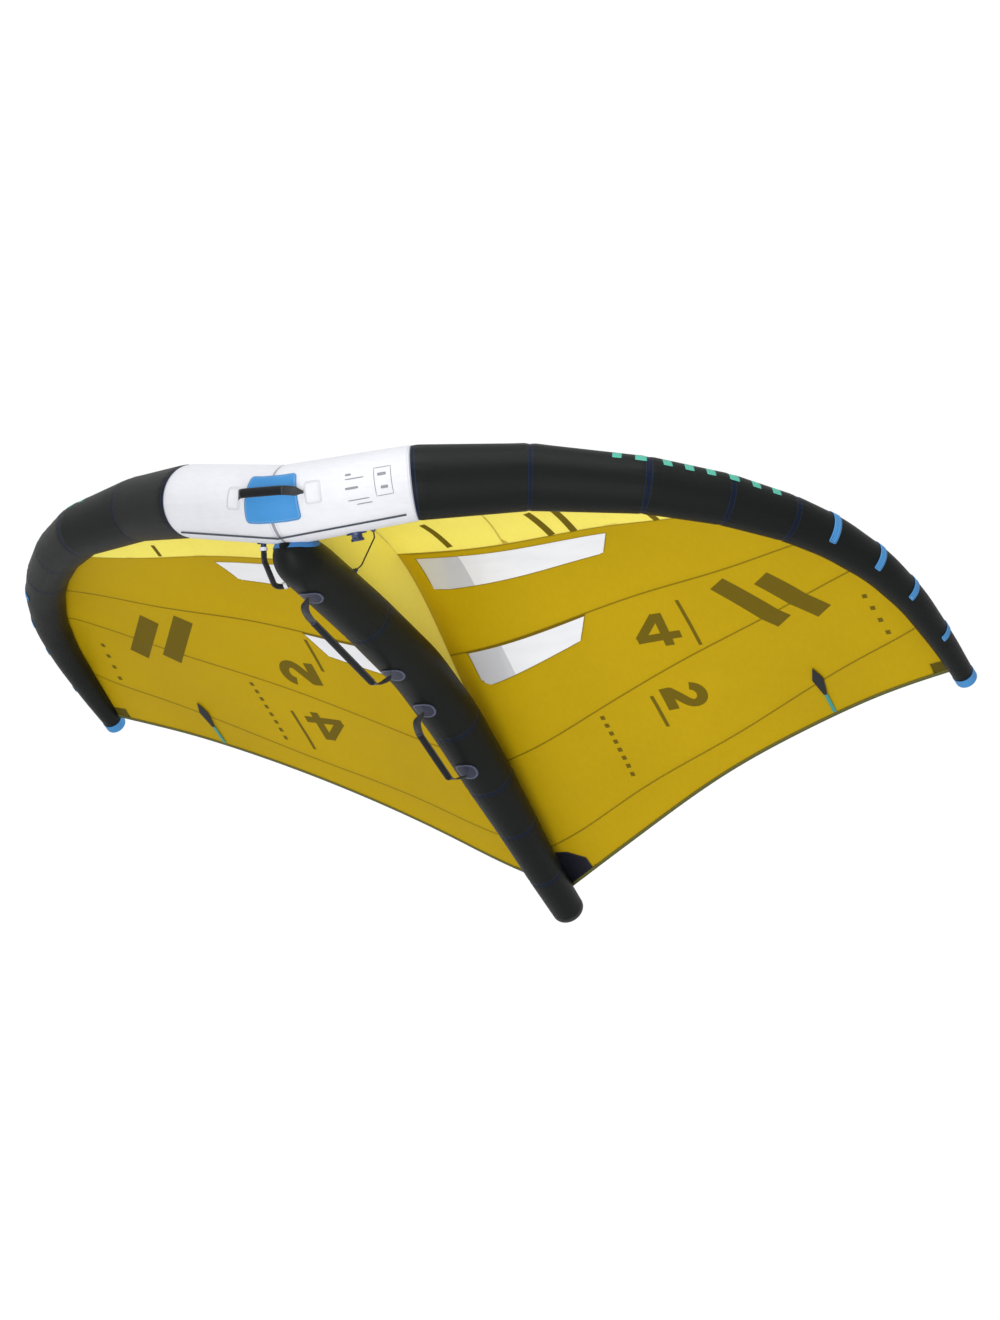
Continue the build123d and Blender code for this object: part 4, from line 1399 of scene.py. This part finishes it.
# %% Strut patches
strut_patch = sewn_cloth(
    "grey_patch_cloth",
    colour=shade(46, 50, 70),
    seam_and_shade_colour=shade(40, 44, 66),
    thread_colour=shade(120, 124, 150),
    roughness=0.36,
    fold=0.0008,
)
oval_radius = 0.034
oval_shape = dict(half_along=oval_radius, angle=pi, corner=0.030)
oval_cloth = dict(lift=0.0005, thickness=0.0018, counts=(22, 22))
for name in ("front_grip", "rear_grip"):
    ovals = []
    for pivot in (paths[name][0], paths[name][-1]):
        mark = float(np.interp(pivot[1], strut["values"][:, 1], strut["along"]))
        half_angle = oval_radius / radius_at(strut, mark)
        oval_name = f"oval_{name}_{len(ovals)}"
        ovals.append(patch_on(oval_name, strut, mark, half_angle=half_angle, **oval_shape, **oval_cloth))
    oval_pair = join_pieces(ovals, f"{name}_anchor_patches")
    finish_piece(oval_pair, strut_patch, "strut_patch", "wing", f"{name}_anchors")

# %% [markdown]
# ## Printed marks
# Sailcloth carries plain printed marks. They are ink, so they are made as thin strokes laid on
# both faces of the cloth: plain numbers for the wing's area, with a bar beside each, and plain
# diagonal stripes.

# %% Strokes of ink
ink_lift, ink_step, ink_square = 0.0004, 0.00004, 0.010


def stroke(points, width, window=0.0):
    """Centreline and width of one printed stroke, in plan."""
    return np.array(points, dtype=float), width, window


def turned(points, centre, width, height, rightwards, upwards):
    """Place a figure drawn in a unit square: its size, and which ways its right and its top point."""
    points = np.array(points, dtype=float) - 0.5
    steps = points[:, :1] * width * np.array(rightwards) + points[:, 1:] * height * np.array(upwards)
    return np.array(centre) + steps


bow = [(0.5 + 0.42 * cos(a), 0.69 + 0.27 * sin(a)) for a in np.linspace(radians(175), radians(-32), 14)]
glyphs = {
    "4": [[(0.62, 1.04), (0.00, 0.26)], [(-0.06, 0.26), (1.06, 0.26)], [(0.68, 1.10), (0.68, -0.08)]],
    "2": [bow + [(0.08, 0.12)], [(-0.04, 0.06), (1.02, 0.06)]],
}


# %% [markdown]
# ## Ink on both faces
# Ink soaks through thin cloth and shows on both faces. Each stroke is therefore laid twice, a
# hair above and a hair below the cloth. Strokes that cross differ in height by a few
# hundredths of a millimetre, so that they never lie in the same place.

# %% Lay the strokes on the canopy
def print_piece(name, strokes):
    """Join strokes into one printed piece, on both faces of the canopy."""
    parts = []
    for number, (line, width, window) in enumerate(strokes):
        line = np.hstack([line, np.zeros((len(line), 1))])
        along, smooth = rounded_path(line, max(window, 0.0005), step=0.004)
        heading = np.gradient(smooth[:, :2], along, axis=0)
        heading /= np.linalg.norm(heading, axis=1)[:, None]
        for face in (-1, 1):

            def place(u, v, along=along, smooth=smooth, heading=heading, width=width, face=face, number=number):
                where = v * along[-1]
                x, y = [np.interp(where, along, smooth[:, k]) for k in (0, 1)]
                hx, hy = [np.interp(where, along, heading[:, k]) for k in (0, 1)]
                off = (u - 0.5) * width
                x, y = x - hy * off, y + hx * off
                # each stroke lies a hair over the last, so that overlapping ink doesn't flicker
                z = cloth_height(x, y) + face * (ink_lift + ink_step * (number % 5))
                return np.stack([x, y, z], axis=1), np.stack([x, y], axis=1), 0 * x + 1

            columns, rows = [max(2, int(size / ink_square)) for size in (width, along[-1])]
            parts.append(lay_cloth(f"{name}_{number}_{face}", columns, rows, place))
    return join_pieces(parts, name)


# %% [markdown]
# ## What is printed
# The marks stand at places in plan: two plain figures on each side with a bar beside each, the
# stripes and dots near the tips, a row of short dashes, and a few bars on the front band. The
# two sides are not mirror images, as the figures must read the right way from below.

# %% What is printed
bar_width, stripe_width, dot_width, dash_width = 0.011, 0.062, 0.014, 0.013
figure_sizes = {"4": (0.118, 0.108), "2": (0.088, 0.112)}
figure_strokes = {"4": (0.028, 0.0), "2": (0.032, 0.012)}


def figure(glyph, place, rightwards, upwards):
    """The strokes of one plain number."""
    centre, size = plan(place)[0], figure_sizes[glyph]
    lines = [turned(line, centre, *size, rightwards, upwards) for line in glyphs[glyph]]
    return [stroke(line, *figure_strokes[glyph]) for line in lines]


def stripes(sign):
    """Two plain diagonal stripes near a wing tip, and a dotted line outboard of them."""
    ends = [((872, 860), (1010, 1050)), ((1000, 868), (1130, 1044))]
    marks = [stroke(plan(*[(sign * x, aft) for x, aft in pair]), stripe_width) for pair in ends]
    dots = ((1255, 1010), (1262, 1062), (1268, 1114), (1274, 1166))
    return marks + [stroke(plan((sign * x, aft), (sign * x, aft + 16)), dot_width) for x, aft in dots]


def dashes_from(x, aft):
    """Eight short dashes in a row."""
    return [stroke(plan((x, aft + 36 * k), (x, aft + 17 + 36 * k)), dash_width) for k in range(8)]


printed = {
    "canopy_marks_right": figure("4", (638, 1006), (1, 0), (0, -1))
    + figure("2", (629, 1278), (0, 1), (1, 0))
    + [stroke(plan((736, 902), (747, 1084)), bar_width), stroke(plan((535, 1251), (538, 1387)), bar_width)]
    + stripes(1)
    + dashes_from(370, 1285),
    "canopy_marks_left": figure("4", (-574, 1319), (-1, 0), (0, 1))
    + figure("2", (-560, 1076), (0, -1), (-1, 0))
    + [stroke(plan((-467, 922), (-466, 1059)), bar_width), stroke(plan((-677, 1260), (-675, 1437)), bar_width)]
    + stripes(-1)
    + dashes_from(-764, 1135),
    "canopy_bars": [
        stroke(plan((145, 436), (176, 560)), 0.020),
        stroke(plan((457, 456), (486, 572)), 0.022),
        stroke(plan((535, 462), (552, 572)), 0.022),
        stroke(plan((794, 530), (806, 566)), 0.020),
        stroke(plan((-790, 500), (-795, 560)), 0.012),
    ],
}
dark_ink = sewn_cloth(
    "olive_ink",
    colour=shade(114, 96, 6),
    seam_and_shade_colour=shade(100, 86, 20),
    thread_colour=shade(100, 86, 20),
    roughness=0.6,
    stop=0.005,
    shine=0.12,
)
for name, marks in printed.items():
    finish_piece(print_piece(name, marks), dark_ink, "yellow_cloth", "wing")

# %% [markdown]
# ## Plain marks on the leading edge
# The tube has printed marks too. They are plain bars, teal ones on the black cloth and grey
# ones on the white, laid on the skin like the patches but almost without thickness.

# %% Plain marks on the leading edge
teal_shade, grey_shade = shade(90, 186, 164), shade(150, 152, 158)
teal_ink = sewn_cloth("teal_ink", shade(96, 196, 172), teal_shade, teal_shade, roughness=0.5, shine=0.15)
grey_ink = sewn_cloth("grey_ink", grey_shade, grey_shade, grey_shade, roughness=0.5, shine=0.15)
mark_cloth = dict(corner=0.002, lift=0.0002, thickness=0.0003, counts=(6, 6))


def edge_marks(name, marks, material, slot):
    """Small plain bars: distance from the middle, angle in degrees, half length, half height."""
    bars = []
    for number, (spot, degrees, half_length, half_height) in enumerate(marks):
        along = edge_middle + spot
        half_angle = half_height / radius_at(edge, along)
        bar_name = f"{name}_{number}"
        bars.append(patch_on(bar_name, edge, along, half_length, radians(degrees), half_angle, **mark_cloth))
    finish_piece(join_pieces(bars, name), material, slot, "wing")


teal_bars = [(sign * (0.90 + 0.062 * k), 57, 0.013, 0.017) for k in range(8) for sign in (-1, 1)]
edge_marks("edge_teal_bars", teal_bars, teal_ink, "black_tube_cloth")
plain_bars = [
    (0.205, 101, 0.008, 0.003),
    (0.222, 108, 0.026, 0.0015),
    (0.212, 122, 0.018, 0.003),
    (0.226, 140, 0.030, 0.0015),
    (0.240, 147, 0.022, 0.0015),
    (0.300, 97, 0.024, 0.001),
    (0.300, 140, 0.024, 0.001),
    (0.2765, 118.5, 0.001, 0.040),
    (0.3235, 118.5, 0.001, 0.040),
    (0.298, 108, 0.012, 0.004),
    (0.302, 128, 0.010, 0.004),
]
edge_marks("edge_plain_bars", plain_bars, grey_ink, "white_cloth")

# %% [markdown]
# ## Fittings kept from the model
# The valve, its cap and hinge pin, the hose, its clamps and stubs, the cords, battens and caps
# are hard or small, and the engineering model already has their true shape. They only need a
# finish. Their meshes carry no UV map, so these materials read the object's own coordinates.

# %% Finishes for hard parts
def moulded(name, colour, roughness, grain, depth=0.0002, coat=0.0):
    """Moulded plastic or rubber: fine grain, a few scuffs, slightly uneven colour."""
    material, shader = new_material(name, roughness)
    spot = coordinates(material, "Object")
    fine = noise(material, spot, grain, 2.0)
    broad = noise(material, spot, 14.0, 3.0)
    base = blend_colours(material, broad, scaled(colour, 0.8), scaled(colour, 1.15, 0.003))
    scuffs = calculate(material, "GREATER_THAN", noise(material, spot, 60.0, 4.0, (1, 6, 1)), 0.69)
    scuffed = calculate(material, "MULTIPLY", scuffs, 0.25)
    base = blend_colours(material, scuffed, base, scaled(colour, 1.6, 0.02))
    join(material, base, shader.inputs["Base Color"])
    gloss = calculate(material, "MULTIPLY_ADD", broad, 0.2, roughness - 0.1)
    join(material, gloss, shader.inputs["Roughness"])
    shader.inputs["Coat Weight"].default_value = coat
    add_bump(material, shader, fine, depth)
    return material


def twisted_cord(name, colour):
    """Braided cord: slanting strands."""
    material, shader = new_material(name, 0.6)
    x, y, z = split(material, coordinates(material, "Object"))
    total = calculate(material, "ADD", calculate(material, "ADD", x, y), z)
    braid = wave_along(material, "SINE", total, pitch=0.003)
    strands = calculate(material, "MULTIPLY_ADD", braid, 0.5, 0.5)
    base = blend_colours(material, strands, scaled(colour, 0.6), scaled(colour, 1.2, 0.002))
    join(material, base, shader.inputs["Base Color"])
    add_bump(material, shader, braid, 0.0004)
    return material


def ribbed_hose(name, colour):
    """Rubber hose with a spiral rib."""
    material, shader = new_material(name, 0.38)
    spot = coordinates(material, "Object")
    x, y, z = split(material, spot)
    slant = calculate(material, "MULTIPLY_ADD", y, 0.8, x)
    total = calculate(material, "ADD", slant, calculate(material, "MULTIPLY", z, 1.1))
    rib = wave_along(material, "SINE", total, pitch=0.006)
    base = blend_colours(material, noise(material, spot, 30.0), colour, scaled(colour, 1.4, 0.004))
    join(material, base, shader.inputs["Base Color"])
    add_bump(material, shader, rib, 0.0012)
    return material


# %% [markdown]
# ## Finish every fitting
# Each fitting gets the finish of what it is made of: moulded plastic in three colours, a steel
# pin, braided cord, ribbed hose, glass-fibre battens, and the cloth of their pockets, of the
# cuff and of the tail cap. One table pairs the names with the finishes, and the meshes of the
# model are shown as they are.

# %% Finish every fitting
navy_plastic = moulded("navy_plastic", shade(24, 44, 92), 0.35, 700.0, coat=0.2)
white_plastic = moulded("white_plastic", shade(226, 226, 228), 0.35, 700.0, coat=0.2)
blue_plastic = moulded("blue_tip_cap", shade(60, 140, 204), 0.5, 500.0)
rubber = ribbed_hose("hose_rubber", shade(22, 24, 28))
pin_steel = moulded("brushed_pin", shade(180, 182, 186), 0.3, 900.0)
pin_steel.node_tree.nodes["Principled BSDF"].inputs["Metallic"].default_value = 1.0
dark_piping = twisted_cord("seam_piping", shade(70, 80, 92))
dark_cord = twisted_cord("braided_cord", shade(24, 26, 32))
glass_rod = moulded("batten_rod", shade(52, 150, 140), 0.3, 400.0)
pocket_cloth = moulded("batten_pocket_cloth", shade(18, 20, 26), 0.6, 300.0, 0.0004)
cuff_cloth = moulded("blue_cuff_cloth", shade(52, 122, 186), 0.6, 800.0, 0.0004)
black_cap = moulded("tail_cap_cloth", shade(30, 32, 36), 0.5, 600.0, 0.0004)
finishes = {
    "valve_base": navy_plastic,
    "valve_cap": navy_plastic,
    "valve_pin": pin_steel,
    "tether_clip": navy_plastic,
    "tether_tab": navy_plastic,
    "hose_stubs": navy_plastic,
    "hose_clamps": white_plastic,
    "transfer_hose": rubber,
    "valve_tether": dark_cord,
    "seam_piping": dark_piping,
    "strut_cuff": cuff_cloth,
    "strut_tail_cap": black_cap,
    "batten_left": glass_rod,
    "batten_right": glass_rod,
    "batten_pocket_left": pocket_cloth,
    "batten_pocket_right": pocket_cloth,
    "tip_cap_left": blue_plastic,
    "tip_cap_right": blue_plastic,
}
for name, material in finishes.items():
    for slot in nodes_by_name[name].material_slots:
        slot.material = material
print("finished fittings", len(finishes))

# %% [markdown]
# ## Floor
# The wing hangs in the air in its flying attitude, above a plain pale floor. The floor is far
# below it, so that it catches no hard shadow, and is faintly uneven, as painted floors are.

# %% Floor
floor_height = -7.2
bpy.ops.object.select_all(action="DESELECT")
bpy.ops.mesh.primitive_plane_add(size=60, location=(0, 0, 0))
floor = bpy.context.object
floor.name = floor.data.name = "studio_floor"
points = read_points(floor)
points[:, 2] = floor_height
write_points(floor, points)
floor_paint, floor_shader = new_material("floor_paint", 0.8)
cloudy = noise(floor_paint, coordinates(floor_paint, "Object"), 0.4)
floor_colour = blend_colours(floor_paint, cloudy, shade(236, 236, 236), shade(244, 244, 244))
join(floor_paint, floor_colour, floor_shader.inputs["Base Color"])
floor.data.materials.append(floor_paint)
print("floor at", floor_height)

# %% [markdown]
# ## Light
# Soft light from everywhere shows the shape best, so the surround gives most of it. It is
# dimmer as a light than it looks to the camera, which keeps the background pale without washing
# the cloth out. Two round lamps add the sheen along the tubes and lift the underside.

# %% Light
extra_seen, surround_light = 0.36, 0.66
world = bpy.data.worlds.new("studio")
bpy.context.scene.world = world
world.use_nodes = True
world_nodes = world.node_tree.nodes
world_nodes["Background"].inputs["Color"].default_value = (1.0, 1.0, 1.0, 1.0)
seen = world_nodes.new("ShaderNodeLightPath")
dimmer = world_nodes.new("ShaderNodeMath")
dimmer.operation = "MULTIPLY_ADD"
dimmer.inputs[1].default_value = extra_seen
dimmer.inputs[2].default_value = surround_light
world.node_tree.links.new(seen.outputs["Is Camera Ray"], dimmer.inputs[0])
world.node_tree.links.new(dimmer.outputs[0], world_nodes["Background"].inputs["Strength"])
bpy.context.scene.view_settings.view_transform = "Standard"


def soft_lamp(name, place, target, size, power):
    """A round soft lamp, turned towards a target."""
    bpy.ops.object.light_add(type="AREA", location=place)
    lamp = bpy.context.object
    lamp.name = name
    lamp.data.shape = "DISK"
    lamp.data.size = size
    lamp.data.energy = power
    lamp.rotation_euler = (Vector(target) - Vector(place)).to_track_quat("-Z", "Y").to_euler()


soft_lamp("front_high", place=(1.5, -5.0, 4.5), target=(0, 0.8, 0), size=2.5, power=260)
soft_lamp("below", place=(2.0, -3.0, -5.0), target=(0, 1.0, 0.2), size=4.0, power=230)
print("lights ready")
